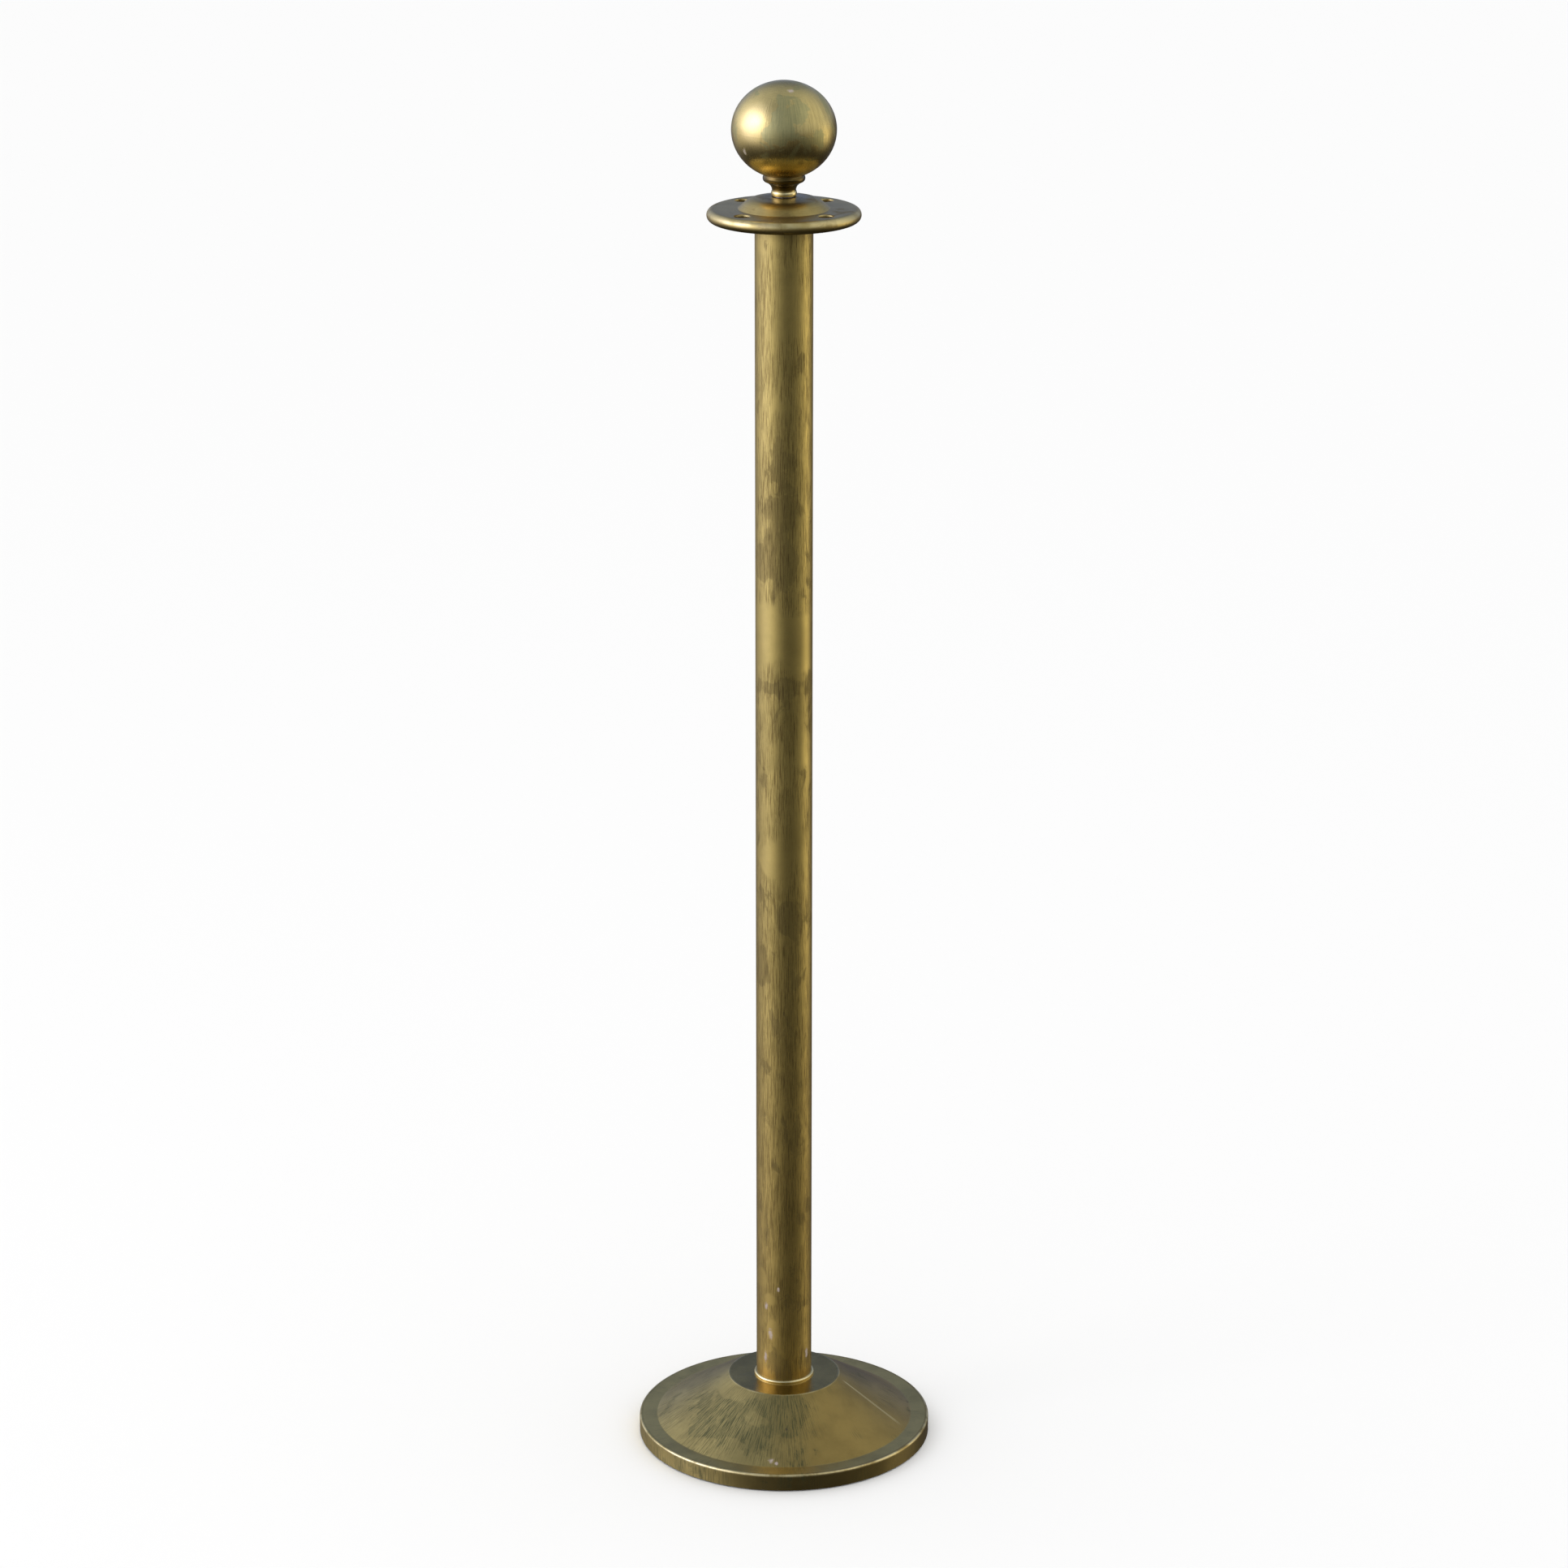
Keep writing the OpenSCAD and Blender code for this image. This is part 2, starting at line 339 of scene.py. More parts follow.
class Graph:
    """A node tree written as short expressions."""

    def __init__(self, tree: bpy.types.NodeTree) -> None:
        """Starts with an empty tree."""
        self.tree = tree
        tree.nodes.clear()

    def add(self, kind: str, **settings: object) -> bpy.types.Node:
        """Adds a node and sets its properties.

        Args:
            kind: The node's type.
            settings: Its properties, by name.

        Returns:
            The new node.
        """
        node = self.tree.nodes.new(kind)
        for key, value in settings.items():
            setattr(node, key, value)
        return node

    def feed(self, socket: Socket, value: Value | Colour) -> None:
        """Links a socket to value, or sets it when value is plain.

        Args:
            socket: The input that is fed.
            value: A socket, a number or three numbers.
        """
        if isinstance(value, bpy.types.NodeSocket):
            self.tree.links.new(value, socket)
        elif isinstance(value, tuple) and len(socket.default_value) == 4:
            socket.default_value = (*value, 1.0)
        else:
            socket.default_value = value

    def math(self, operation: str, *values: Value, clamp: bool = False) -> Socket:
        """One arithmetic step.

        Args:
            operation: What is done.
            values: Up to three values.
            clamp: Whether the result is kept from 0 to 1.

        Returns:
            The result.
        """
        node = self.add("ShaderNodeMath", operation=operation, use_clamp=clamp)
        for socket, value in zip(node.inputs, values, strict=False):
            self.feed(socket, value)
        return node.outputs[0]

    def total(self, *values: Value) -> Value:
        """The sum of the values."""
        return reduce(lambda first, second: self.math("ADD", first, second), values)

    def product(self, *values: Value) -> Value:
        """The product of the values."""
        return reduce(lambda first, second: self.math("MULTIPLY", first, second), values)

    def less(self, value: Value, other: Value) -> Socket:
        """The first value less the second."""
        return self.math("SUBTRACT", value, other)

    def vector(self, operation: str, *values: Socket | Place) -> Socket:
        """One step of vector arithmetic.

        Args:
            operation: What is done.
            values: The vectors.

        Returns:
            The result, which is a number for a dot product or a length.
        """
        node = self.add("ShaderNodeVectorMath", operation=operation)
        for socket, value in zip(node.inputs, values, strict=False):
            self.feed(socket, value)
        return node.outputs["Value" if operation in ("DOT_PRODUCT", "LENGTH") else "Vector"]

    def scaled(self, vector: Socket | Place, amount: Value) -> Socket:
        """A vector made longer or shorter.

        Args:
            vector: The vector.
            amount: How many times its length.

        Returns:
            The new vector.
        """
        node = self.add("ShaderNodeVectorMath", operation="SCALE")
        self.feed(node.inputs[0], vector)
        self.feed(node.inputs["Scale"], amount)
        return node.outputs[0]

    def join(self, x: Value, y: Value, z: Value) -> Socket:
        """A vector from three values.

        Args:
            x: Its X.
            y: Its Y.
            z: Its Z.

        Returns:
            The vector.
        """
        node = self.add("ShaderNodeCombineXYZ")
        for socket, value in zip(node.inputs, (x, y, z), strict=True):
            self.feed(socket, value)
        return node.outputs[0]

    def split(self, vector: Socket) -> tuple[Socket, Socket, Socket]:
        """The three values of a vector.

        Args:
            vector: The vector.

        Returns:
            Its X, Y and Z.
        """
        node = self.add("ShaderNodeSeparateXYZ")
        self.feed(node.inputs[0], vector)
        return tuple(node.outputs)

    def step(self, value: Value, low: float, high: float, start: float = 0.0, end: float = 1.0) -> Socket:
        """A soft step from start to end while value goes from low to high.

        Args:
            value: What is measured.
            low: Where the step begins.
            high: Where it ends.
            start: The result below low.
            end: The result above high.

        Returns:
            The stepped value.
        """
        node = self.add("ShaderNodeMapRange", interpolation_type="SMOOTHSTEP")
        for name, number in (("Value", value), ("From Min", low), ("From Max", high),
                             ("To Min", start), ("To Max", end)):
            self.feed(node.inputs[name], number)
        return node.outputs[0]

    def noise(self, coords: Socket, scale: float, detail: float = 3.0, roughness: float = 0.55,
              distortion: float = 0.0) -> Socket:
        """Cloudy noise from 0 to 1.

        Args:
            coords: Where it is read.
            scale: How many clouds there are to a unit of coords.
            detail: How many finer layers it has.
            roughness: How strong they are.
            distortion: How much the clouds are swirled.

        Returns:
            The noise's value.
        """
        node = self.add("ShaderNodeTexNoise")
        self.feed(node.inputs["Vector"], coords)
        for name, number in (("Scale", scale), ("Detail", detail), ("Roughness", roughness),
                             ("Distortion", distortion)):
            node.inputs[name].default_value = number
        return node.outputs[0]

    def mix(self, amount: Value, first: Socket | Colour, second: Socket | Colour) -> Socket:
        """Mixes two colours.

        Args:
            amount: 0 for the first colour and 1 for the second.
            first: The first colour.
            second: The second colour.

        Returns:
            The mixed colour.
        """
        node = self.add("ShaderNodeMix", data_type="RGBA")
        self.feed(node.inputs[0], amount)
        self.feed(node.inputs[6], first)
        self.feed(node.inputs[7], second)
        return node.outputs[2]

    def blend(self, amount: Value, first: Value, second: Value) -> Socket:
        """Mixes two values.

        Args:
            amount: 0 for the first value and 1 for the second.
            first: The first value.
            second: The second value.

        Returns:
            The mixed value.
        """
        node = self.add("ShaderNodeMix", data_type="FLOAT")
        self.feed(node.inputs[0], amount)
        self.feed(node.inputs[2], first)
        self.feed(node.inputs[3], second)
        return node.outputs[0]

    def bump(self, height: Socket, distance: float, strength: float) -> Socket:
        """A normal bent by a height.

        Args:
            height: The relief, from 0 to 1.
            distance: How deep a height of 1 is, in metres.
            strength: How much of the relief shows.

        Returns:
            The normal.
        """
        node = self.add("ShaderNodeBump")
        node.inputs["Strength"].default_value = strength
        node.inputs["Distance"].default_value = distance
        self.feed(node.inputs["Height"], height)
        return node.outputs["Normal"]


@dataclass(frozen=True)
class Here:
    """The point that is being shaded, in its piece's own coordinates.

    Attributes:
        place: The point.
        x: Its X.
        y: Its Y.
        z: Its height.
        radius: Its distance from the centre line.
    """

    place: Socket
    x: Socket
    y: Socket
    z: Socket
    radius: Socket

    @classmethod
    def of(cls, g: Graph) -> "Here":
        """Reads the point from the object's coordinates.

        Args:
            g: The material's graph.

        Returns:
            The point.
        """
        place = g.add("ShaderNodeTexCoord").outputs["Object"]
        x, y, z = g.split(place)
        radius = g.math("SQRT", g.total(g.product(x, x), g.product(y, y)))
        return cls(place, x, y, z, g.math("MAXIMUM", radius, 1e-5))


@dataclass
class Surface:
    """The look of the metal while it is built up in layers.

    Attributes:
        colour: Its colour so far.
        streaked: How much of it the tarnish in its scratches hides.
        blotches: How much of it the patches of tarnish hide.
        rough: How rough it is so far.
        metal: How metallic it is so far.
    """

    colour: Socket
    streaked: Value
    blotches: Value
    rough: Value
    metal: Value = 1.0


@dataclass(frozen=True)
class Grain:
    """Which way the metal was worked.

    Attributes:
        around: How many scratches lie side by side round the piece, per radian.
        along: How often they break along the outline, per metre.
        run: The share of radius and of height in the distance along the outline.
    """

    around: float
    along: float
    run: Point


class Working(Enum):
    """The ways in which the brass was worked."""

    DRAWN = Grain(around=50.0, along=62.0, run=(0.0, 1.0))
    BRUSHED_OUTWARDS = Grain(around=110.0, along=64.0, run=(1.0, -0.6))
    BRUSHED_DOWN = Grain(around=46.0, along=60.0, run=(0.0, 1.0))
    TURNED = Grain(around=2.0, along=1500.0, run=(1.0, -0.8))


@dataclass(frozen=True)
class WornEdge:
    """A turned edge that hands and cloths have rubbed bright.

    Attributes:
        radius: The radius of the edge.
        height: Its height.
        reach: How far from the edge the rubbing goes.
        strength: How bright it is at most.
    """

    radius: float
    height: float
    reach: float
    strength: float = 1.0


@dataclass(frozen=True)
class TintAndShadeRing:
    """A ring of the surface that is tinted: a colour of its own on some pieces, painted shade on others.

    Attributes:
        inner: Its inner radius.
        outer: Its outer radius.
        low: The height where it starts.
        high: The height where it ends.
        tint: Its colour.
        strength: How much of the tint shows.
        soft: The width of its borders.
        gloss: How much smoother it is than the rest.
        calm: The share of the streaks and patches that it lacks.
        side: The way the tinted side faces, when the ring isn't tinted all round; on the skirt this side
            holds painted shade.
    """

    inner: float
    outer: float
    low: float
    high: float
    tint: Colour
    strength: float
    soft: float = 1.2 * MM
    gloss: float = 0.0
    calm: float = 0.0
    side: Place | None = None


@dataclass(frozen=True)
class Spot:
    """A place on a turned piece: an angle from the front in degrees, a radius and a height."""

    angle: float
    radius: float
    height: float

    def place(self) -> Place:
        """The spot's X, Y and Z."""
        a = math.radians(self.angle)
        return (self.radius * math.sin(a), -self.radius * math.cos(a), self.height)


class Mark(Enum):
    """The colours of the small marks that the metal has picked up."""

    SPLASH = (0.500, 0.420, 0.390)
    PIT = (0.020, 0.016, 0.010)


@dataclass(frozen=True)
class Fleck:
    """A small ragged mark.

    Attributes:
        spot: Where it is.
        size: How far it reaches.
        stretch: How many times taller than wide it is.
        mark: What left it.
    """

    spot: Spot
    size: float
    stretch: float = 1.6
    mark: Mark = Mark.SPLASH


@dataclass(frozen=True)
class Smear:
    """A place where tarnish gathers, or keeps away.

    Attributes:
        spot: Its middle.
        size: How far it reaches.
        shift: How much tarnish gathers; it keeps away when this is below 0.
        stretch: How many times taller than wide it is.
    """

    spot: Spot
    size: float
    shift: float
    stretch: float = 1.0


@dataclass(frozen=True)
class Scratch:
    """A thin straight line from start to end, lighter than the metal round it."""

    start: Spot
    end: Spot
    width: float


LINE_ROUGHNESS = 0.05
STREAK_ROUGHNESS = 0.10
PATCH_ROUGHNESS = 0.12
FLECK_ROUGHNESS = 0.15
WORN_SMOOTHNESS = 0.10
FLECK_DULLNESS = 0.7
LINE_HEIGHT = 0.5
STREAK_HEIGHT = -0.5
PATCH_HEIGHT = -0.35
RELIEF_DEPTH = 0.25 * MM
SHADE_CLOUDS = 24.0
COVER_CLOUDS = 42.0
WEAR_CLOUDS = 60.0
FLECK_CLOUDS = 520.0
SCRATCH_CLOUDS = 30.0
BLACK = (0.0, 0.0, 0.0)


@dataclass(frozen=True)
class AgedBrass:
    """Brass whose polish has worn into streaks, blotches and bright edges.

    Attributes:
        name: The material's name.
        slot: The record's name for the finish.
        working: The way the metal was worked.
        clean: The colour of the metal where nothing covers it.
        streak: The colour of the tarnish in the scratches.
        blotch: The colour of the patches of tarnish.
        bright: The colour where the metal is rubbed bright.
        warm: The clean colour on the warmer side; on the ball's underside it is a painted reflection of
            the brass below.
        warm_way: The way the warmer side faces.
        warm_from: Where the warmer colour begins and is whole, in metres along warm_way.
        mottle: How much darker the metal is in its uneven places.
        streak_amount: How much the tarnished scratches hide at most.
        streak_cover: Where in the clouds the scratches begin to be tarnished, and where all are.
        streak_edge: How sharp the sides of a scratch are.
        blotch_scale: How many patches there are to a metre.
        blotch_level: Where in the clouds the patches begin.
        blotch_amount: How much the patches hide at most.
        blotch_stretch: How flat the patches are; below 1 they are taller than wide.
        crisp: The share of a patch that has a sharp border.
        roughness: How rough the clean metal is.
        bump: How much of the relief shows.
        bands: Heights, each with how much tarnish gathers there.
        edges: The edges that are rubbed bright.
        rings: The rings with a tint of their own; some of them are painted shade.
        flecks: The small marks.
        smears: The places where tarnish gathers or keeps away.
        scratches: The long scratches.
        broken: How much the scratches break the patches up.
        cap: The heights where scratches along the grain give way to turned ones.
    """

    name: str
    slot: str
    working: Working
    clean: Colour = (0.620, 0.485, 0.185)
    streak: Colour = (0.215, 0.155, 0.052)
    blotch: Colour = (0.225, 0.170, 0.060)
    bright: Colour = (0.930, 0.780, 0.400)
    warm: Colour = (0.500, 0.375, 0.125)
    warm_way: Place = (0.0, 0.0, -1.0)
    warm_from: Point = (1.0, 2.0)
    mottle: float = 0.20
    streak_amount: float = 0.8
    streak_cover: Point = (0.30, 0.50)
    streak_edge: Point = (0.50, 0.545)
    blotch_scale: float = 26.0
    blotch_level: float = 0.60
    blotch_amount: float = 0.75
    blotch_stretch: float = 0.6
    crisp: float = 0.5
    roughness: float = 0.34
    bump: float = 0.25
    bands: tuple[Point, ...] = ()
    edges: tuple[WornEdge, ...] = ()
    rings: tuple[TintAndShadeRing, ...] = ()
    flecks: tuple[Fleck, ...] = ()
    smears: tuple[Smear, ...] = ()
    scratches: tuple[Scratch, ...] = ()
    broken: float = 0.0
    cap: Point | None = None

    def material(self) -> bpy.types.Material:
        """Builds the node material.

        Returns:
            The finished material.
        """
        made = bpy.data.materials.new(self.name)
        made.use_nodes = True
        g = Graph(made.node_tree)
        here = Here.of(g)
        shift = self._local_shift(g, here)
        streaks, lines = self._worked(g, here)
        warmth = g.step(g.vector("DOT_PRODUCT", here.place, self.warm_way), *self.warm_from)
        surface = Surface(
            colour=g.mix(warmth, self.clean, self.warm),
            streaked=self._streaked(g, here, shift, streaks),
            blotches=self._blotches(g, here, shift, streaks),
            rough=g.total(self.roughness, g.product(lines, LINE_ROUGHNESS)))
        self._tint_and_shade(g, here, surface)
        self._tarnish(g, here, surface)
        self._wear(g, here, surface)
        self._mark(g, here, surface)
        height = g.total(g.product(lines, LINE_HEIGHT), g.product(surface.streaked, STREAK_HEIGHT),
                         g.product(surface.blotches, PATCH_HEIGHT))
        shader = g.add("ShaderNodeBsdfPrincipled")
        g.feed(shader.inputs["Base Color"], surface.colour)
        g.feed(shader.inputs["Metallic"], surface.metal)
        g.feed(shader.inputs["Roughness"], surface.rough)
        g.feed(shader.inputs["Normal"], g.bump(height, RELIEF_DEPTH, self.bump))
        g.feed(g.add("ShaderNodeOutputMaterial").inputs[0], shader.outputs[0])
        return made

    def _tint_and_shade(self, g: Graph, here: Here, surface: Surface) -> None:
        """Tints the rings; some of these tints are painted shade.

        Args:
            g: The material's graph.
            here: The point on the piece.
            surface: The look so far, which is changed.
        """
        for ring in self.rings:
            inside = self._ring_mask(g, here, ring)
            surface.colour = g.mix(g.product(inside, ring.strength), surface.colour, ring.tint)
            surface.rough = g.less(surface.rough, g.product(inside, ring.gloss))
            if ring.calm:
                left = g.less(1.0, g.product(inside, ring.calm))
                surface.streaked = g.product(surface.streaked, left)
                surface.blotches = g.product(surface.blotches, left)

    def _tarnish(self, g: Graph, here: Here, surface: Surface) -> None:
        """Lays the uneven shade, the tarnished scratches and the patches over the metal.

        Args:
            g: The material's graph.
            here: The point on the piece.
            surface: The look so far, which is changed.
        """
        cloud = g.noise(here.place, SHADE_CLOUDS, detail=6.0, roughness=0.64)
        colour = g.mix(g.step(cloud, 0.32, 0.66, self.mottle, 0.0), surface.colour, BLACK)
        colour = g.mix(surface.streaked, colour, self.streak)
        surface.colour = g.mix(g.product(surface.blotches, self.blotch_amount), colour, self.blotch)
        surface.rough = g.total(surface.rough, g.product(surface.streaked, STREAK_ROUGHNESS),
                                g.product(surface.blotches, PATCH_ROUGHNESS))

    def _wear(self, g: Graph, here: Here, surface: Surface) -> None:
        """Rubs the edges bright and draws the long scratches.

        Args:
            g: The material's graph.
            here: The point on the piece.
            surface: The look so far, which is changed.
        """
        for edge in self.edges:
            worn = self._edge_mask(g, here, edge)
            surface.colour = g.mix(worn, surface.colour, self.bright)
            surface.rough = g.less(surface.rough, g.product(worn, WORN_SMOOTHNESS))
        for scratch in self.scratches:
            surface.colour = g.mix(self._scratch_mask(g, here, scratch), surface.colour, self.bright)

    def _mark(self, g: Graph, here: Here, surface: Surface) -> None:
        """Puts the small marks on top; they are duller and less metallic.

        Args:
            g: The material's graph.
            here: The point on the piece.
            surface: The look so far, which is changed.
        """
        for fleck in self.flecks:
            spot = self._fleck_mask(g, here, fleck)
            surface.colour = g.mix(spot, surface.colour, fleck.mark.value)
            dull = g.product(spot, FLECK_DULLNESS)
            surface.metal = g.math("SUBTRACT", surface.metal, dull, clamp=True)
            surface.rough = g.total(surface.rough, g.product(spot, FLECK_ROUGHNESS))

    def _worked(self, g: Graph, here: Here) -> tuple[Socket, Socket]:
        """The scratches that working the piece left, with turned ones on its cap if it has one.

        Args:
            g: The material's graph.
            here: The point on the piece.

        Returns:
            The tarnish in the scratches, and the fine lines between them.
        """
        streaks, lines = self._streaks(g, here, self.working.value)
        if not self.cap:
            return streaks, lines
        cap = g.step(here.z, *self.cap)
        rings, ring_lines = self._streaks(g, here, Working.TURNED.value)
        return g.blend(cap, streaks, rings), g.blend(cap, lines, ring_lines)

    def _streaks(self, g: Graph, here: Here, grain: Grain) -> tuple[Socket, Socket]:
        """The scratches along one grain.

        Args:
            g: The material's graph.
            here: The point on the piece.
            grain: Which way the metal was worked.

        Returns:
            The tarnish in the scratches, and the fine lines between them.
        """
        run = g.total(g.product(here.radius, grain.run[0]), g.product(here.z, grain.run[1]))
        way = g.join(g.product(g.math("DIVIDE", here.x, here.radius), grain.around),
                     g.product(g.math("DIVIDE", here.y, here.radius), grain.around),
                     g.product(run, grain.along))
        streaks = g.step(g.noise(way, 1.0, detail=3.5, roughness=0.62, distortion=0.25), *self.streak_edge)
        return streaks, g.noise(way, 2.7, detail=2.0, roughness=0.5)

    def _streaked(self, g: Graph, here: Here, shift: Value, streaks: Socket) -> Socket:
        """How much of the metal the tarnished scratches hide.

        Args:
            g: The material's graph.
            here: The point on the piece.
            shift: Where tarnish gathers and keeps away.
            streaks: The tarnish in the scratches.

        Returns:
            The share that is hidden.
        """
        cloud = g.noise(g.vector("MULTIPLY", here.place, (1.0, 1.0, 0.45)), COVER_CLOUDS)
        cover = g.step(g.total(cloud, shift), *self.streak_cover)
        return g.product(streaks, cover, self.streak_amount)

    def _local_shift(self, g: Graph, here: Here) -> Value:
        """Where tarnish gathers and where it keeps away, from bands and smears.

        Args:
            g: The material's graph.
            here: The point on the piece.

        Returns:
            What is added to the clouds that the tarnish follows.
        """
        shift: Value = self._band_shift(g, here.z) if self.bands else 0.0
        for smear in self.smears:
            away = self._distance(g, here, smear.spot, smear.stretch)
            shift = g.total(shift, g.step(away, smear.size * 0.3, smear.size, smear.shift, 0.0))
        return shift

    def _band_shift(self, g: Graph, z: Socket) -> Socket:
        """How much tarnish gathers at each height.

        Args:
            g: The material's graph.
            z: The height.

        Returns:
            What is added to the clouds.
        """
        curve = g.add("ShaderNodeFloatCurve")
        low, high = self.bands[0][0], self.bands[-1][0]
        line = curve.mapping.curves[0]
        spots = [((height - low) / (high - low), 0.5 + shift) for height, shift in self.bands]
        line.points[0].location, line.points[1].location = spots[0], spots[-1]
        for spot in spots[1:-1]:
            line.points.new(*spot)
        curve.mapping.update()
        share = g.add("ShaderNodeMapRange")
        for name, number in (("Value", z), ("From Min", low), ("From Max", high)):
            g.feed(share.inputs[name], number)
        g.feed(curve.inputs["Value"], share.outputs[0])
        return g.less(curve.outputs[0], 0.5)

    def _blotches(self, g: Graph, here: Here, shift: Value, streaks: Socket) -> Socket:
        """Tarnish that stands in patches.

        Args:
            g: The material's graph.
            here: The point on the piece.
            shift: Where tarnish gathers and keeps away.
            streaks: The scratches that break the patches up.

        Returns:
            How much of the metal the patches hide.
        """
        stretched = g.vector("MULTIPLY", here.place, (1.0, 1.0, self.blotch_stretch))
        cloud = g.noise(stretched, self.blotch_scale, detail=5.0, roughness=0.58, distortion=0.5)
        cloud = g.total(cloud, shift)
        soft = g.step(cloud, self.blotch_level - 0.08, self.blotch_level + 0.10, 0.0, 1.0 - self.crisp)
        crisp = g.step(cloud, self.blotch_level, self.blotch_level + 0.02, 0.0, self.crisp)
        whole = g.total(soft, crisp)
        if not self.broken:
            return whole
        return g.product(whole, g.step(streaks, 0.0, 0.9, 1.0 - self.broken, 1.0))

    def _distance(self, g: Graph, here: Here, spot: Spot, stretch: float) -> Socket:
        """The distance from a spot.

        Args:
            g: The material's graph.
            here: The point on the piece.
            spot: The spot.
            stretch: How many times it is shortened in height.

        Returns:
            The distance.
        """
        offset = g.vector("SUBTRACT", here.place, spot.place())
        return g.vector("LENGTH", g.vector("MULTIPLY", offset, (1.0, 1.0, 1.0 / stretch)))

    def _ring_mask(self, g: Graph, here: Here, ring: TintAndShadeRing) -> Socket:
        """Whether the point is in a tinted ring, and on its side if it has one.

        Args:
            g: The material's graph.
            here: The point on the piece.
            ring: The ring.

        Returns:
            1 inside the ring and 0 outside it, with soft borders.
        """
        beyond = (g.less(here.radius, ring.inner), g.less(ring.outer, here.radius),
                  g.less(here.z, ring.low), g.less(ring.high, here.z))
        mask = g.product(*(g.step(way, -ring.soft / 2, ring.soft / 2) for way in beyond))
        if not ring.side:
            return mask
        return g.product(mask, g.step(g.vector("DOT_PRODUCT", here.place, ring.side), -0.035, 0.055))

    def _edge_mask(self, g: Graph, here: Here, edge: WornEdge) -> Socket:
        """How bright a worn edge is at the point.

        Args:
            g: The material's graph.
            here: The point on the piece.
            edge: The edge.

        Returns:
            The share of bright metal.
        """
        out, up = g.less(here.radius, edge.radius), g.less(here.z, edge.height)
        away = g.math("SQRT", g.total(g.product(out, out), g.product(up, up)))
        near = g.step(away, edge.reach * 0.35, edge.reach, 1.0, 0.0)
        cloud = g.noise(here.place, WEAR_CLOUDS, detail=4.0, roughness=0.6)
        uneven = g.step(cloud, 0.38, 0.60, 0.15, 1.0)
        return g.product(near, uneven, edge.strength)

    def _fleck_mask(self, g: Graph, here: Here, fleck: Fleck) -> Socket:
        """How much of a small mark lies at the point.

        Args:
            g: The material's graph.
            here: The point on the piece.
            fleck: The mark.

        Returns:
            The share that the mark hides.
        """
        away = self._distance(g, here, fleck.spot, fleck.stretch)
        cloud = g.noise(here.place, FLECK_CLOUDS, detail=4.0, roughness=0.75)
        ragged = g.product(cloud, fleck.size * 2.6)
        return g.step(g.total(away, ragged), fleck.size * 1.6, fleck.size * 2.4, 0.75, 0.0)

    def _scratch_mask(self, g: Graph, here: Here, scratch: Scratch) -> Socket:
        """How much of a long scratch lies at the point.

        Args:
            g: The material's graph.
            here: The point on the piece.
            scratch: The scratch.

        Returns:
            The share of bright metal.
        """
        start, end = Vector(scratch.start.place()), Vector(scratch.end.place())
        length = (end - start).length
        along = tuple((end - start).normalized())
        offset = g.vector("SUBTRACT", here.place, tuple(start))
        run = g.vector("DOT_PRODUCT", offset, along)
        wave = g.product(g.noise(here.place, SCRATCH_CLOUDS, detail=2.0), scratch.width * 2)
        away = g.less(g.vector("LENGTH", g.vector("CROSS_PRODUCT", offset, along)), wave)
        near = g.step(g.math("ABSOLUTE", away), 0.0, scratch.width, 0.6, 0.0)
        return g.product(near, g.step(run, 0.0, length * 0.1), g.step(run, length * 0.8, length, 1.0, 0.0))


@dataclass(frozen=True)
class PlainFinish:
    """A finish with one body colour, broken up by clouds, grain and pores.

    Attributes:
        name: The material's name.
        slot: The record's name for the finish.
        colour: Its colour.
        shade: Its colour in the darker clouds.
        metallic: 1 for metal and 0 for anything else.
        roughness: How rough it is on the whole.
        cloud_scale: How many clouds there are to a metre.
        grain: How the fine grain is squeezed along X, Y and Z.
        grain_scale: How many grains there are to a metre.
        relief: How much of the grain's relief shows.
        relief_depth: How deep the grain is.
    """

    name: str
    slot: str
    colour: Colour
    shade: Colour
    metallic: float
    roughness: float
    cloud_scale: float
    grain: Place = (1.0, 1.0, 1.0)
    grain_scale: float = 900.0
    relief: float = 0.15
    relief_depth: float = 0.2 * MM

    def material(self) -> bpy.types.Material:
        """Builds the node material.

        Returns:
            The finished material.
        """
        made = bpy.data.materials.new(self.name)
        made.use_nodes = True
        g = Graph(made.node_tree)
        place = g.add("ShaderNodeTexCoord").outputs["Object"]
        clouds = g.noise(place, self.cloud_scale, detail=4.0, roughness=0.6)
        fine = g.noise(g.vector("MULTIPLY", place, self.grain), self.grain_scale, roughness=0.6)
        mottle = g.total(g.product(clouds, 0.6), g.product(fine, 0.4))
        rough = g.step(fine, 0.3, 0.7, self.roughness - 0.07, self.roughness + 0.07)
        shader = g.add("ShaderNodeBsdfPrincipled")
        shader.inputs["Metallic"].default_value = self.metallic
        g.feed(shader.inputs["Base Color"], g.mix(g.step(mottle, 0.35, 0.65), self.shade, self.colour))
        g.feed(shader.inputs["Roughness"], rough)
        g.feed(shader.inputs["Normal"], g.bump(fine, self.relief_depth, self.relief))
        g.feed(g.add("ShaderNodeOutputMaterial").inputs[0], shader.outputs[0])
        return made


Finish = AgedBrass | PlainFinish

CAST_IRON = PlainFinish("sand_cast_iron", "cast_iron", (0.055, 0.055, 0.058), (0.030, 0.028, 0.027),
                        metallic=0.0, roughness=0.62, cloud_scale=30.0, grain_scale=450.0,
                        relief=0.6, relief_depth=0.5 * MM)
RUBBER = PlainFinish("moulded_rubber", "pad_rubber", (0.028, 0.028, 0.029), (0.018, 0.018, 0.018),
                     metallic=0.0, roughness=0.72, cloud_scale=40.0, relief=0.25)
ZINC = PlainFinish("zinc_plated_steel", "zinc_steel", (0.62, 0.63, 0.65), (0.47, 0.47, 0.46),
                   metallic=1.0, roughness=0.36, cloud_scale=120.0)
OILED_STEEL = PlainFinish("oiled_steel", "plain_steel", (0.40, 0.40, 0.41), (0.24, 0.23, 0.22),
                          metallic=1.0, roughness=0.34, cloud_scale=60.0, grain=(1.0, 1.0, 3.0))
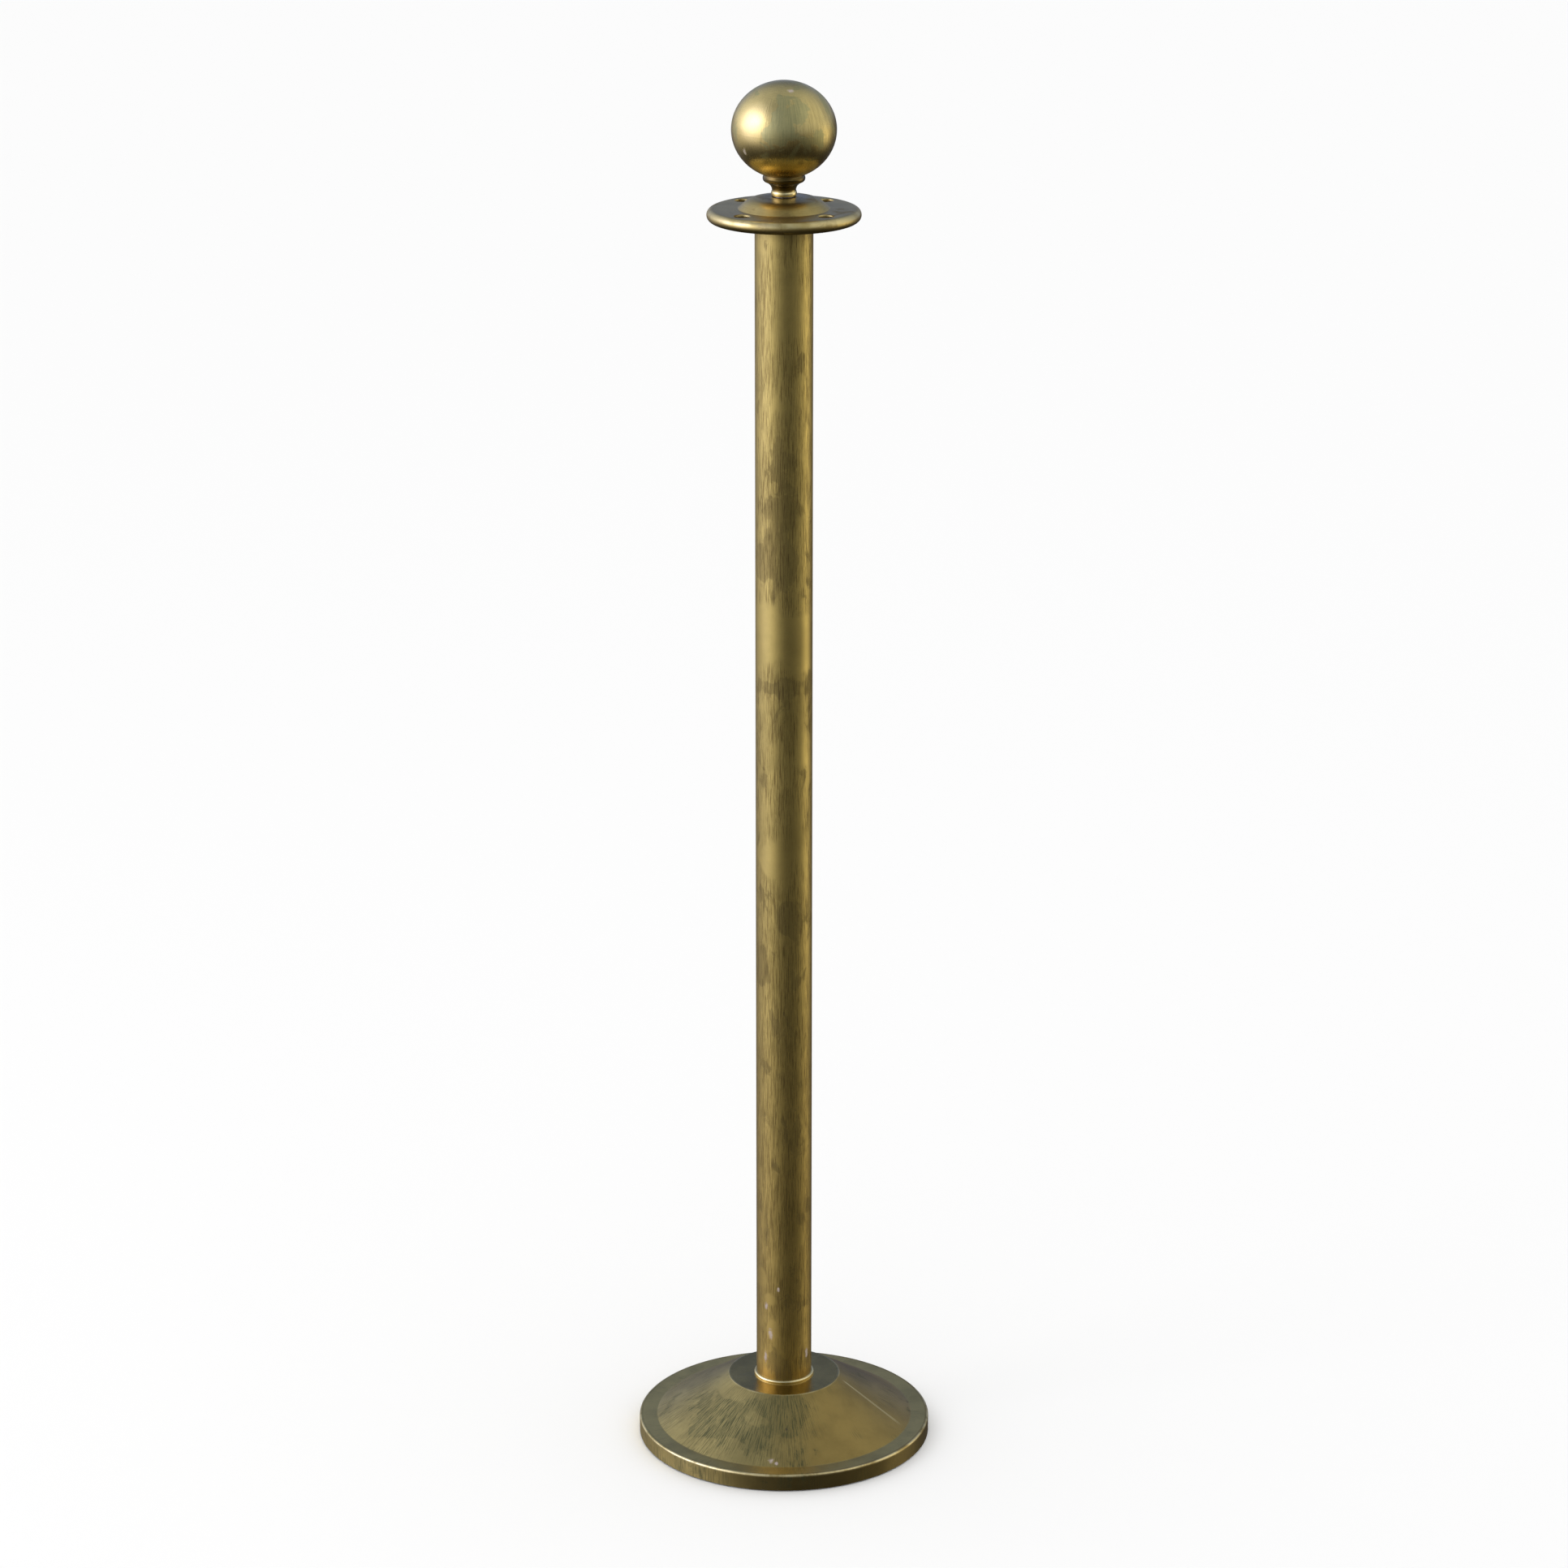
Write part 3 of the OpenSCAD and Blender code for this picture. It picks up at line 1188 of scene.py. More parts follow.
NYLON = PlainFinish("turned_nylon", "nylon", (0.78, 0.75, 0.66), (0.66, 0.62, 0.52),
                    metallic=0.0, roughness=0.45, cloud_scale=80.0)
FIBRE = PlainFinish("vulcanised_fibre", "red_fibre", (0.26, 0.055, 0.030), (0.16, 0.035, 0.022),
                    metallic=0.0, roughness=0.6, cloud_scale=160.0, relief=0.3)
BARE_BRASS = PlainFinish("bare_brass", "clean_brass", (0.68, 0.54, 0.25), (0.52, 0.40, 0.19),
                         metallic=1.0, roughness=0.3, cloud_scale=90.0)


class Dresser:
    """Makes each finish once and puts it on pieces."""

    def __init__(self) -> None:
        """Starts with no materials made."""
        self.made: dict[str, bpy.types.Material] = {}

    def material(self, finish: Finish) -> bpy.types.Material:
        """The finish's material, built the first time it is asked for.

        Args:
            finish: The finish.

        Returns:
            Its material.
        """
        if finish.name not in self.made:
            self.made[finish.name] = finish.material()
        return self.made[finish.name]

    def stands_for(self, obj: bpy.types.Object, node: str, body: str, finish: Finish) -> None:
        """Dresses a new piece, which takes a CAD node's place on its body.

        Args:
            obj: The new piece.
            node: The CAD node that it replaces.
            body: The body that it rides on.
            finish: Its finish.
        """
        obj.data.materials.clear()
        obj.data.materials.append(self.material(finish))
        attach(obj, body)
        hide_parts(node)
        log.info("%s stands for %s on %s, in %s", obj.name, node, body, finish.name)

    def keep(self, node: str, finish: Finish) -> None:
        """Dresses a CAD node that stays as it is.

        Args:
            node: The CAD node.
            finish: Its finish.
        """
        obj = frame["nodes"][node]
        material = self.material(finish)
        if not obj.material_slots:
            obj.data.materials.append(material)
        for place in obj.material_slots:
            place.material = material
        log.info("%s stays, in %s", node, finish.name)


def reach_of(node: str) -> float:
    """The outer radius of a turned CAD node."""
    low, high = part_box(node)
    return (high.x - low.x) / 2


# ---------------------------------------------------------------------------------------------
# The stand
# ---------------------------------------------------------------------------------------------


@dataclass
class Base:
    """The weighted base: spun brass cover, iron ballast, rubber pad and foot bolt."""

    lathe: Lathe
    dresser: Dresser
    sheet: float = 1.5 * MM
    skirt_height: float = 12.0 * MM
    rim_width: float = 12.9 * MM
    land_radius: float = 40.2 * MM
    edge_rounding: float = 1.3 * MM
    bend_rounding: float = 1.6 * MM
    inner_rounding: float = 0.3 * MM
    bolt_hole: float = 6.75 * MM
    bolt_radius: float = 6.0 * MM
    bolt_pitch: float = 1.75 * MM
    bolt_flats: float = 18.0 * MM
    bolt_tip: float = 1.0 * MM
    head_height: float = 7.5 * MM
    head_overlap: float = 0.5 * MM

    def __post_init__(self) -> None:
        """Reads the cover's levels from the frame."""
        low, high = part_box("base_cover")
        self.radius = reach_of("base_cover")
        self.bottom = low.z
        self.rim = low.z + self.skirt_height
        self.land = high.z
        self.foot = self.radius - self.rim_width

    def finish(self) -> AgedBrass:
        """The cover's aged brass, with a rubbed rim, dull flats and painted shade on the skirt's right
        front.

        Returns:
            The finish.
        """
        rim_edge = self.radius - self.edge_rounding * 0.4
        middle = (self.rim + self.land) / 2
        skirt = (self.radius - 1 * MM, self.radius + 1 * MM, 0.0, self.rim - 1.5 * MM)
        return AgedBrass(
            "aged_brass_base", "aged_brass_base", Working.BRUSHED_OUTWARDS,
            clean=(0.430, 0.338, 0.122), streak=(0.150, 0.126, 0.047), blotch=(0.080, 0.085, 0.036),
            warm=(0.345, 0.240, 0.070), warm_way=(1.0, -0.15, 0.0), warm_from=(-0.020, 0.040),
            streak_amount=0.6, streak_cover=(0.40, 0.62), blotch_scale=34.0, blotch_level=0.60,
            blotch_amount=0.72, blotch_stretch=1.0, roughness=0.34, mottle=0.28, broken=0.62,
            edges=(WornEdge(rim_edge, self.rim - 0.6 * MM, 1.7 * MM, 0.58),
                   WornEdge(self.land_radius, self.land, 1.2 * MM, 0.25)),
            rings=(TintAndShadeRing(self.foot, self.radius - 2.2 * MM, self.rim - 1 * MM, self.rim + 1 * MM,
                              (0.650, 0.505, 0.180), 0.9, gloss=0.07, calm=0.75),
                   TintAndShadeRing(*skirt, (0.740, 0.575, 0.195), 0.9),
                   # Painted shade: the skirt's right front, near the floor and away from the key light, is
                   # darkened.
                   TintAndShadeRing(*skirt, (0.210, 0.155, 0.052), 0.9, side=(0.80, -0.60, 0.0)),
                   TintAndShadeRing(0.0, self.land_radius, self.land - 1 * MM, self.land + 1 * MM,
                              (0.500, 0.360, 0.112), 0.92, gloss=0.23, calm=0.6)),
            smears=(Smear(Spot(-32.0, 0.066, middle), 0.040, 0.16),
                    Smear(Spot(-62.0, 0.078, middle), 0.036, 0.15),
                    Smear(Spot(4.0, 0.054, middle + 6 * MM), 0.027, 0.24),
                    Smear(Spot(-12.0, 0.078, middle - 5 * MM), 0.020, 0.10),
                    Smear(Spot(42.0, 0.070, middle), 0.070, -0.13),
                    Smear(Spot(80.0, 0.075, middle), 0.050, -0.08),
                    Smear(Spot(-32.0, 0.106, 0.006), 0.020, 0.12)),
            scratches=(Scratch(Spot(77.0, 0.043, self.land - 1.6 * MM),
                               Spot(72.0, 0.092, self.rim + 0.7 * MM), 0.5 * MM),),
            flecks=(Fleck(Spot(-6.0, 0.0885, 0.0158), 2.1 * MM),
                    Fleck(Spot(-3.5, 0.0905, 0.0146), 1.5 * MM),
                    Fleck(Spot(1.5, 0.0655, 0.0294), 1.3 * MM, 1.8, Mark.PIT)))

    def build(self) -> None:
        """Makes the base's pieces and dresses them."""
        brass = self.finish()
        self.dresser.stands_for(self._cover(), "base_cover", "stand", brass)
        self.dresser.stands_for(self._bolt(), "base_bolt", "stand", ZINC)
        self.dresser.keep("base_weight", CAST_IRON)
        self.dresser.keep("floor_pad", RUBBER)
        self.dresser.keep("base_flat_washer", ZINC)
        self.dresser.keep("base_spring_washer", ZINC)

    def _cover(self) -> bpy.types.Object:
        """Spins the cover: skirt, rim, cone and land, with soft bends.

        Returns:
            The new cover.
        """
        slope = math.atan2(self.land - self.rim, self.foot - self.land_radius)
        shift = self.sheet * math.tan(slope / 2)
        bend = self.bend_rounding
        outline = Outline().corners([
            (self.radius, self.bottom, 0),
            (self.radius, self.rim, self.edge_rounding),
            (self.foot, self.rim, bend),
            (self.land_radius, self.land, bend),
            (self.bolt_hole, self.land, 0),
            (self.bolt_hole, self.land - self.sheet, 0),
            (self.land_radius - shift, self.land - self.sheet, self.inner_rounding),
            (self.foot - shift, self.rim - self.sheet, bend + self.sheet),
            (self.radius - self.sheet, self.rim - self.sheet, self.inner_rounding),
            (self.radius - self.sheet, self.bottom, 0)], steps=8)
        return self.lathe.turn("spun_base_cover", outline)

    def _bolt(self) -> bpy.types.Object:
        """Makes the foot bolt: bevelled hexagon head and threaded shank.

        Returns:
            The new bolt.
        """
        low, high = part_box("base_bolt")
        bearing = low.z + self.head_height
        head_verts, head_faces = hexagon_head(self.bolt_flats, low.z, bearing)
        rod_verts, rod_faces = threaded_rod(self.bolt_radius, self.bolt_pitch,
                                            bearing - self.head_overlap, high.z, self.bolt_tip)
        start = len(head_verts)
        faces = head_faces + [tuple(v + start for v in face) for face in rod_faces]
        return finished_mesh("foot_bolt", head_verts + rod_verts, faces)


@dataclass
class Post:
    """The drawn brass tube, its two plugs and the trim ring at its foot."""

    lathe: Lathe
    dresser: Dresser
    wall: float = 1.5 * MM
    rim_rounding: float = 0.4 * MM
    ring_clearance: float = 0.05 * MM
    ring_undercut: float = 0.25 * MM

    def finish(self) -> AgedBrass:
        """The tube's drawn brass: fine upright streaks, with patches at some heights, and painted shade
        under the collar and at its foot.

        Returns:
            The finish.
        """
        low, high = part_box("post_tube")
        radius = reach_of("post_tube")
        return AgedBrass(
            "aged_brass_post", "aged_brass_post", Working.DRAWN,
            clean=(0.590, 0.450, 0.140), streak=(0.160, 0.108, 0.032), blotch=(0.160, 0.116, 0.038),
            warm=(0.550, 0.396, 0.114), warm_from=(-0.560, -0.080),
            streak_amount=0.76, streak_edge=(0.485, 0.560),
            blotch_scale=64.0, blotch_stretch=0.5, broken=0.30, roughness=0.33,
            # Painted shade: the top of the tube darkens under the collar's plate.
            rings=(TintAndShadeRing(0.0, 30 * MM, high.z - 7 * MM, high.z + 20 * MM,
                              (0.160, 0.115, 0.040), 0.7, 14 * MM),
                   # Painted shade: the tube darkens at its foot, where it meets the foot ring and the
                   # base.
                   TintAndShadeRing(0.0, 30 * MM, low.z - 10 * MM, low.z + 9 * MM,
                              (0.300, 0.200, 0.055), 0.6, 14 * MM)),
            bands=((low.z, 0.00), (0.170, 0.02), (0.330, 0.03), (0.410, 0.04), (0.445, -0.02),
                   (0.500, -0.01), (0.560, 0.03), (0.574, 0.05), (0.590, -0.10), (0.625, -0.12),
                   (0.642, 0.02), (0.700, 0.03), (0.760, 0.00), (0.800, -0.02), (0.870, -0.03),
                   (high.z, 0.00)),
            smears=self._smears(radius),
            flecks=(Fleck(Spot(-40.0, radius, 0.104), 1.9 * MM),
                    Fleck(Spot(-30.0, radius, 0.083), 2.2 * MM, 2.2),
                    Fleck(Spot(-42.0, radius, 0.064), 1.8 * MM, 2.6),
                    Fleck(Spot(-12.0, radius, 0.119), 1.3 * MM),
                    Fleck(Spot(55.0, radius, 0.065), 1.9 * MM, 2.5)))

    def _smears(self, radius: float) -> tuple[Smear, ...]:
        """Where the tube's tarnish has gathered, and where hands and cloths have rubbed it clean.

        Args:
            radius: The tube's outer radius.

        Returns:
            The smears.
        """
        def smear(angle: float, height: float, size: float, shift: float, stretch: float = 1.3) -> Smear:
            """One smear, with its height in metres and its size in millimetres."""
            return Smear(Spot(angle, radius, height), size * MM, shift, stretch)

        gathered, rubbed, wiped = 0.18, -0.26, -0.09
        return (smear(-2, 0.733, 17, gathered), smear(-47, 0.704, 10, gathered),
                smear(6, 0.700, 13, gathered), smear(8, 0.659, 13, gathered, 1.6),
                smear(-18, 0.667, 20, gathered), smear(-37, 0.574, 12, gathered, 0.7),
                smear(6, 0.574, 13, gathered, 0.7), smear(15, 0.406, 16, gathered),
                smear(-49, 0.369, 20, gathered), smear(-2, 0.052, 9, gathered),
                smear(46, 0.058, 10, gathered), smear(-26, 0.840, 30, wiped, 1.6),
                smear(14, 0.843, 24, wiped, 1.6), smear(-27, 0.611, 22, rubbed, 0.9),
                smear(33, 0.611, 22, rubbed, 0.9), smear(-37, 0.445, 14, rubbed, 1.0),
                smear(-56, 0.125, 9, rubbed), smear(-34, 0.110, 9, rubbed, 0.8),
                smear(-24, 0.087, 8, rubbed), smear(-63, 0.092, 8, rubbed),
                smear(34, 0.157, 8, rubbed, 1.0))

    def build(self) -> None:
        """Makes the post's pieces and dresses them."""
        brass = self.finish()
        self.dresser.stands_for(self._tube(), "post_tube", "stand", brass)
        self.dresser.stands_for(self._foot_ring(), "foot_ring", "stand", self._ring_finish())
        self.dresser.keep("lower_plug", OILED_STEEL)
        self.dresser.keep("upper_plug", OILED_STEEL)
        self.dresser.keep("thrust_washer", NYLON)

    def _tube(self) -> bpy.types.Object:
        """Draws the tube, with its two rims eased.

        Returns:
            The new tube.
        """
        low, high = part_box("post_tube")
        radius, ease, seam = reach_of("post_tube"), self.rim_rounding, 0.01 * MM
        inner = radius - self.wall
        outline = Outline().corners([
            (inner, low.z, 0), (radius, low.z, ease), (radius, high.z, ease),
            (inner, high.z, ease), (inner, low.z + seam, 0)], steps=4)
        return self.lathe.turn("drawn_post_tube", outline)

    def _ring_finish(self) -> AgedBrass:
        """The foot ring's brass, rubbed bright along its whole bead.

        Returns:
            The finish.
        """
        low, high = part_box("foot_ring")
        return AgedBrass(
            "rubbed_brass_ring", "aged_brass_base", Working.TURNED,
            clean=(0.70, 0.58, 0.29), streak_amount=0.4, blotch_amount=0.4, roughness=0.28,
            edges=(WornEdge(reach_of("foot_ring"), (low.z + high.z) / 2, 2.2 * MM, 0.8),))

    def _foot_ring(self) -> bpy.types.Object:
        """Turns the half-round trim ring.

        Returns:
            The new ring.
        """
        low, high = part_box("foot_ring")
        inner = reach_of("post_tube") + self.ring_clearance
        outer, height = reach_of("foot_ring"), high.z - low.z
        outline = Outline().to(inner, low.z).to(outer - self.ring_undercut, low.z)
        outline.arc((inner, low.z + height * 0.4), (outer - inner, height * 0.6), -10, 90, 14)
        return self.lathe.turn("turned_foot_ring", outline)


# ---------------------------------------------------------------------------------------------
# The rope collar
# ---------------------------------------------------------------------------------------------


@dataclass
class Collar:
    """The turning collar: a half-round plate with hook holes, and a softly domed boss."""

    lathe: Lathe
    dresser: Dresser
    boss_foot: float = 31.4 * MM
    apron: float = 2.0 * MM
    shoulder: float = 24.0 * MM
    shoulder_height: float = 6.7 * MM
    shoulder_round: float = 14.0 * MM
    foot_round: float = 0.8 * MM
    mouth_round: float = 0.4 * MM
    boss_height: float = 8.4 * MM
    recess: float = 19.8 * MM
    recess_depth: float = 0.8 * MM
    bush: float = 10.5 * MM
    lip: float = 7.9 * MM
    lip_height: float = 2.9 * MM
    hole_round: float = 1.1 * MM
    first_hole: float = 45.0

    def __post_init__(self) -> None:
        """Reads the plate's levels from the frame."""
        low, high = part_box("rope_collar")
        self.radius = reach_of("rope_collar")
        self.bottom, self.top = low.z, high.z
        self.plate_top = high.z - self.boss_height

    def finish(self) -> AgedBrass:
        """The collar's cast brass: dull grey on the flats, rubbed along the rim, with painted shade round
        the neck's foot.

        Returns:
            The finish.
        """
        edge = (self.plate_top - self.bottom) / 2
        dull = (0.520, 0.405, 0.160)
        return AgedBrass(
            "aged_brass_collar", "aged_brass_collar", Working.TURNED,
            clean=(0.480, 0.368, 0.128), roughness=0.32, mottle=0.26,
            streak=(0.190, 0.132, 0.042), streak_amount=0.22, streak_cover=(0.42, 0.62),
            blotch=(0.190, 0.130, 0.042), blotch_scale=46.0, blotch_level=0.57,
            blotch_amount=0.5, blotch_stretch=1.0,
            edges=(WornEdge(self.radius - 1.4 * MM, self.bottom + edge + 2.4 * MM, 3.4 * MM, 0.35),),
            rings=(TintAndShadeRing(self.boss_foot, self.radius - 3.0 * MM, self.plate_top - 1 * MM,
                              self.plate_top + 0.4 * MM, dull, 0.8),
                   # Painted shade: the top of the boss darkens round the neck's foot, under the ball.
                   TintAndShadeRing(0.0, 16.0 * MM, self.plate_top + 6.0 * MM, self.top + 1 * MM,
                              (0.260, 0.200, 0.085), 0.7, 5.0 * MM, 0.08)))

    def build(self) -> None:
        """Makes the collar's pieces and dresses them."""
        self.dresser.stands_for(self._plate(), "rope_collar", "collar", self.finish())
        self.dresser.keep("collar_bush", NYLON)

    def _plate(self) -> bpy.types.Object:
        """Turns the plate and boss, and drills the hook holes with rounded lips.

        Returns:
            The new collar.
        """
        edge = (self.plate_top - self.bottom) / 2
        outline = Outline().to(self.recess, self.bottom)
        outline.arc((self.radius - edge, self.bottom + edge), (edge, edge), -90, 90, 24)
        outline.corners([
            (self.boss_foot + self.apron, self.plate_top, 0),
            (self.boss_foot, self.plate_top, self.foot_round),
            (self.shoulder, self.plate_top + self.shoulder_height, self.shoulder_round),
            (self.lip, self.top, self.mouth_round),
            (self.lip, self.top - self.lip_height, 0),
            (self.bush, self.top - self.lip_height, 0),
            (self.bush, self.bottom + self.recess_depth, 0),
            (self.recess, self.bottom + self.recess_depth, 0)], steps=8)
        plate = self.lathe.turn("cast_rope_collar", outline)
        dims = self._holes()
        for i in range(dims["count"]):
            angle = math.radians(self.first_hole + 360 * i / dims["count"])
            self._drill(plate, angle, dims["hole_r_mm"] * MM, dims["pcd_mm"] * MM / 2)
        smooth(plate, self.lathe.crease)
        weighted = plate.modifiers.new("even_flats", "WEIGHTED_NORMAL")
        weighted.keep_sharp = True
        apply_modifiers(plate)
        return plate

    def _holes(self) -> dict[str, float]:
        """The hook holes' count, circle and radius, as the record states them."""
        mounts = {m["name"]: m["dims"] for m in frame["record"]["mounts"]}
        return mounts["rope_holes"]

    def _drill(self, plate: bpy.types.Object, angle: float, hole: float, around: float) -> None:
        """Cuts one hook hole, with both lips rounded.

        Args:
            plate: The collar that is cut.
            angle: The hole's angle from the front, in radians.
            hole: Its radius.
            around: The radius of the circle that the holes lie on.
        """
        ease, past = self.hole_round, 0.5 * MM
        top, low = self.plate_top, self.bottom
        cutter = Outline().to(0.0, low - past).to(hole + ease, low - past)
        cutter.arc((hole + ease, low + ease), (ease, ease), -90, -180, 6)
        cutter.arc((hole + ease, top - ease), (ease, ease), 180, 90, 6)
        cutter.to(hole + ease, top + past).to(0.0, top + past)
        tool = Lathe(segments=56).turn("hole_cutter", cutter)
        tool.location = (around * math.sin(angle), -around * math.cos(angle), 0.0)
        cut = plate.modifiers.new("hole", "BOOLEAN")
        cut.operation, cut.solver, cut.object = "DIFFERENCE", "EXACT", tool
        apply_modifiers(plate)
        bpy.data.objects.remove(tool)


def apply_modifiers(obj: bpy.types.Object) -> None:
    """Bakes an object's modifiers into its mesh.

    Args:
        obj: The object, which gets a new mesh.
    """
    bpy.context.view_layer.update()
    shape = obj.evaluated_get(bpy.context.evaluated_depsgraph_get())
    mesh = bpy.data.meshes.new_from_object(shape)
    obj.modifiers.clear()
    old, obj.data = obj.data, mesh
    mesh.name = obj.name
    bpy.data.meshes.remove(old)


# ---------------------------------------------------------------------------------------------
# The finial
# ---------------------------------------------------------------------------------------------


@dataclass
class Finial:
    """The ball finial: turned neck, two spun shells and the stud that screws into the post."""

    lathe: Lathe
    dresser: Dresser
    sheet: float = 1.2 * MM
    seat: float = 11.1 * MM
    foot: float = 8.8 * MM
    foot_bulge: float = 0.6 * MM
    foot_half_height: float = 1.7 * MM
    bead: float = 14.5 * MM
    bead_height: float = 12.1 * MM
    bead_top: float = 13.9 * MM
    bead_half: Point = (2.2 * MM, 2.7 * MM)
    cove: Point = (9.0 * MM, 6.4 * MM)
    cove_foot: float = 3.9 * MM
    clearance: float = 0.05 * MM
    washer_room: float = 7.4 * MM
    room_depth: float = 1.05 * MM
    stud_radius: float = 5.0 * MM
    stud_pitch: float = 1.5 * MM
    stud_tip: float = 0.9 * MM

    def __post_init__(self) -> None:
        """Reads the ball's middle and half height from the frame."""
        low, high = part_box("ball_upper_shell")
        self.middle, self.half_height = low.z, high.z - low.z
        self.radius = reach_of("ball_upper_shell")

    def ball_finish(self) -> AgedBrass:
        """The ball's spun brass, streaked downwards and dulled green at the top, with a painted reflection
        of the brass below on its underside.

        Returns:
            The finish.
        """
        green = (0.270, 0.300, 0.145)
        return AgedBrass(
            "aged_brass_ball", "aged_brass_finial", Working.BRUSHED_DOWN,
            clean=(0.630, 0.492, 0.185), roughness=0.25, mottle=0.22,
            streak=(0.260, 0.200, 0.075), streak_amount=0.36, streak_cover=(0.46, 0.64),
            blotch=green, blotch_scale=66.0, blotch_level=0.61, blotch_amount=0.50,
            blotch_stretch=0.9, crisp=0.75, broken=0.12,
            # Painted reflection: the underside turns a warmer gold like the brass below it, and the bands
            # keep tarnish off it.
            warm=(0.660, 0.450, 0.110), warm_from=(14 * MM - self.middle, 22 * MM - self.middle),
            bands=((self.middle - 36 * MM, -0.14), (self.middle - 20 * MM, -0.12),
                   (self.middle - 14 * MM, 0.0), (self.middle + 36 * MM, 0.0)),
            cap=(self.middle + 24 * MM, self.middle + 25 * MM),
            smears=(Smear(Spot(6.0, 0.029, self.middle + 15 * MM), 0.017, 0.20),
                    # Partly painted highlight: this smear keeps tarnish off the spot where the key light's
                    # highlight falls, so the highlight reads cleaner and brighter.
                    Smear(Spot(-44.0, 0.031, self.middle + 7 * MM), 0.017, -0.20),
                    Smear(Spot(-8.0, 0.033, self.middle - 8 * MM), 0.020, 0.09),
                    Smear(Spot(38.0, 0.033, self.middle - 6 * MM), 0.017, 0.10)),
            flecks=(Fleck(Spot(15.0, 0.0175, self.middle + 28.9 * MM), 2.4 * MM, 1.0),
                    Fleck(Spot(-52.0, 0.0335, self.middle - 11.5 * MM), 2.0 * MM, 1.4)))

    def neck_finish(self) -> AgedBrass:
        """The neck's turned brass, with painted shade in the cove and on the upper bead, and bright on its
        foot bead.

        Returns:
            The finish.
        """
        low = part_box("finial_neck")[0]
        return AgedBrass(
            "aged_brass_neck", "aged_brass_finial", Working.TURNED,
            clean=(0.62, 0.48, 0.18), streak_amount=0.3, blotch_amount=0.4, roughness=0.20, bump=0.1,
            edges=(WornEdge(self.foot, low.z + 1.8 * MM, 2.2 * MM),),
            # Painted shade: the cove and the upper bead, between the collar and the ball, are darkened
            # almost to black.
            rings=(TintAndShadeRing(0.0, 12.0 * MM, low.z + 3.9 * MM, low.z + 9.0 * MM,
                              (0.060, 0.036, 0.010), 0.92, 1.6 * MM),
                   TintAndShadeRing(0.0, 20.0 * MM, low.z + 8.0 * MM, low.z + 20.0 * MM,
                              (0.085, 0.054, 0.014), 0.96, 1.6 * MM)))

    def build(self) -> None:
        """Makes the finial's pieces and dresses them."""
        ball = self.ball_finish()
        lower = self._shell("spun_lower_shell", upper=False)
        upper = self._shell("spun_upper_shell", upper=True)
        self.dresser.stands_for(lower, "ball_lower_shell", "finial", ball)
        self.dresser.stands_for(upper, "ball_upper_shell", "finial", ball)
        self.dresser.stands_for(self._neck(), "finial_neck", "finial", self.neck_finish())
        self.dresser.stands_for(self._stud(), "finial_stud", "finial", ZINC)
        self.dresser.keep("finial_washer", FIBRE)
        self.dresser.keep("ball_ferrule", BARE_BRASS)
        self.dresser.keep("ball_clamp_washer", ZINC)
        self.dresser.keep("ball_nut", ZINC)

    def _shell(self, name: str, upper: bool) -> bpy.types.Object:
        """Spins half of the ball.

        Args:
            name: The new object's name.
            upper: True for the closed upper half, False for the lower half with its seat hole.

        Returns:
            The new shell.
        """
        outer = (self.radius, self.half_height)
        inner = (self.radius - self.sheet, self.half_height - self.sheet)
        centre = (0.0, self.middle)
        outline = Outline()
        if upper:
            outline.arc(centre, outer, 0, 90, 40).arc(centre, inner, 90, 0, 40)
            outline.points = [(r if r > ON_AXIS else 0.0, z) for r, z in outline.points]
        else:
            hole = [-math.degrees(math.acos(self.seat / reach[0])) for reach in (outer, inner)]
            outline.arc(centre, outer, hole[0], 0, 34).arc(centre, inner, 0, hole[1], 34)
        return self.lathe.turn(name, outline)

    def _neck(self) -> bpy.types.Object:
        """Turns the neck: foot bead, waist, cove and upper bead.

        Returns:
            The new neck.
        """
        low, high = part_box("finial_neck")
        clear, z = self.clearance, low.z
        bore, spigot = self.stud_radius + clear, self.seat - clear
        under = (self.radius + clear, self.half_height + clear)
        start, end = (-math.degrees(math.acos(r / under[0])) for r in (self.bead_top, spigot))
        outline = Outline().to(self.washer_room, z)
        waist = self.foot - self.foot_bulge
        foot_half = (self.foot_bulge, self.foot_half_height)
        outline.arc((waist, z + self.foot_half_height), foot_half, -90, 90, 14)
        outline.arc((waist + self.cove[0], z + self.cove_foot), self.cove, 180, 120, 14)
        outline.arc((self.bead - self.bead_half[0], z + self.bead_height), self.bead_half, -70, 40, 14)
        outline.arc((0.0, self.middle), under, start, end, 4)
        outline.to(spigot, high.z).to(bore, high.z)
        outline.to(bore, z + self.room_depth).to(self.washer_room, z + self.room_depth)
        return self.lathe.turn("turned_neck", outline)

    def _stud(self) -> bpy.types.Object:
        """Cuts the stud's right-hand thread.

        Returns:
            The new stud.
        """
        low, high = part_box("finial_stud")
        verts, faces = threaded_rod(self.stud_radius, self.stud_pitch, low.z, high.z, self.stud_tip)
        return finished_mesh("threaded_stud", verts, faces, crease=40.0)


# ---------------------------------------------------------------------------------------------
# The studio
# ---------------------------------------------------------------------------------------------


@dataclass(frozen=True)
class Glow:
    """A soft patch of the studio's surroundings that the metal mirrors.

    Attributes:
        azimuth: The way to its middle, in degrees; 0 is the camera's side and 90 the right.
        elevation: How high its middle is, in degrees.
        width: How far from its middle it has half its strength, in degrees.
        colour: Its colour.
        power: Its strength, which dims the surroundings when it is below 0.
    """

    azimuth: float
    elevation: float
    width: float
    colour: Colour
    power: float

    def direction(self) -> Place:
        """The way to the middle of the glow."""
        a, e = math.radians(self.azimuth), math.radians(self.elevation)
        return (math.sin(a) * math.cos(e), -math.cos(a) * math.cos(e), math.sin(e))

    def sharpness(self) -> float:
        """The power of the cosine that halves the glow at its width in degrees."""
        return math.log(0.5) / math.log(math.cos(math.radians(self.width)))


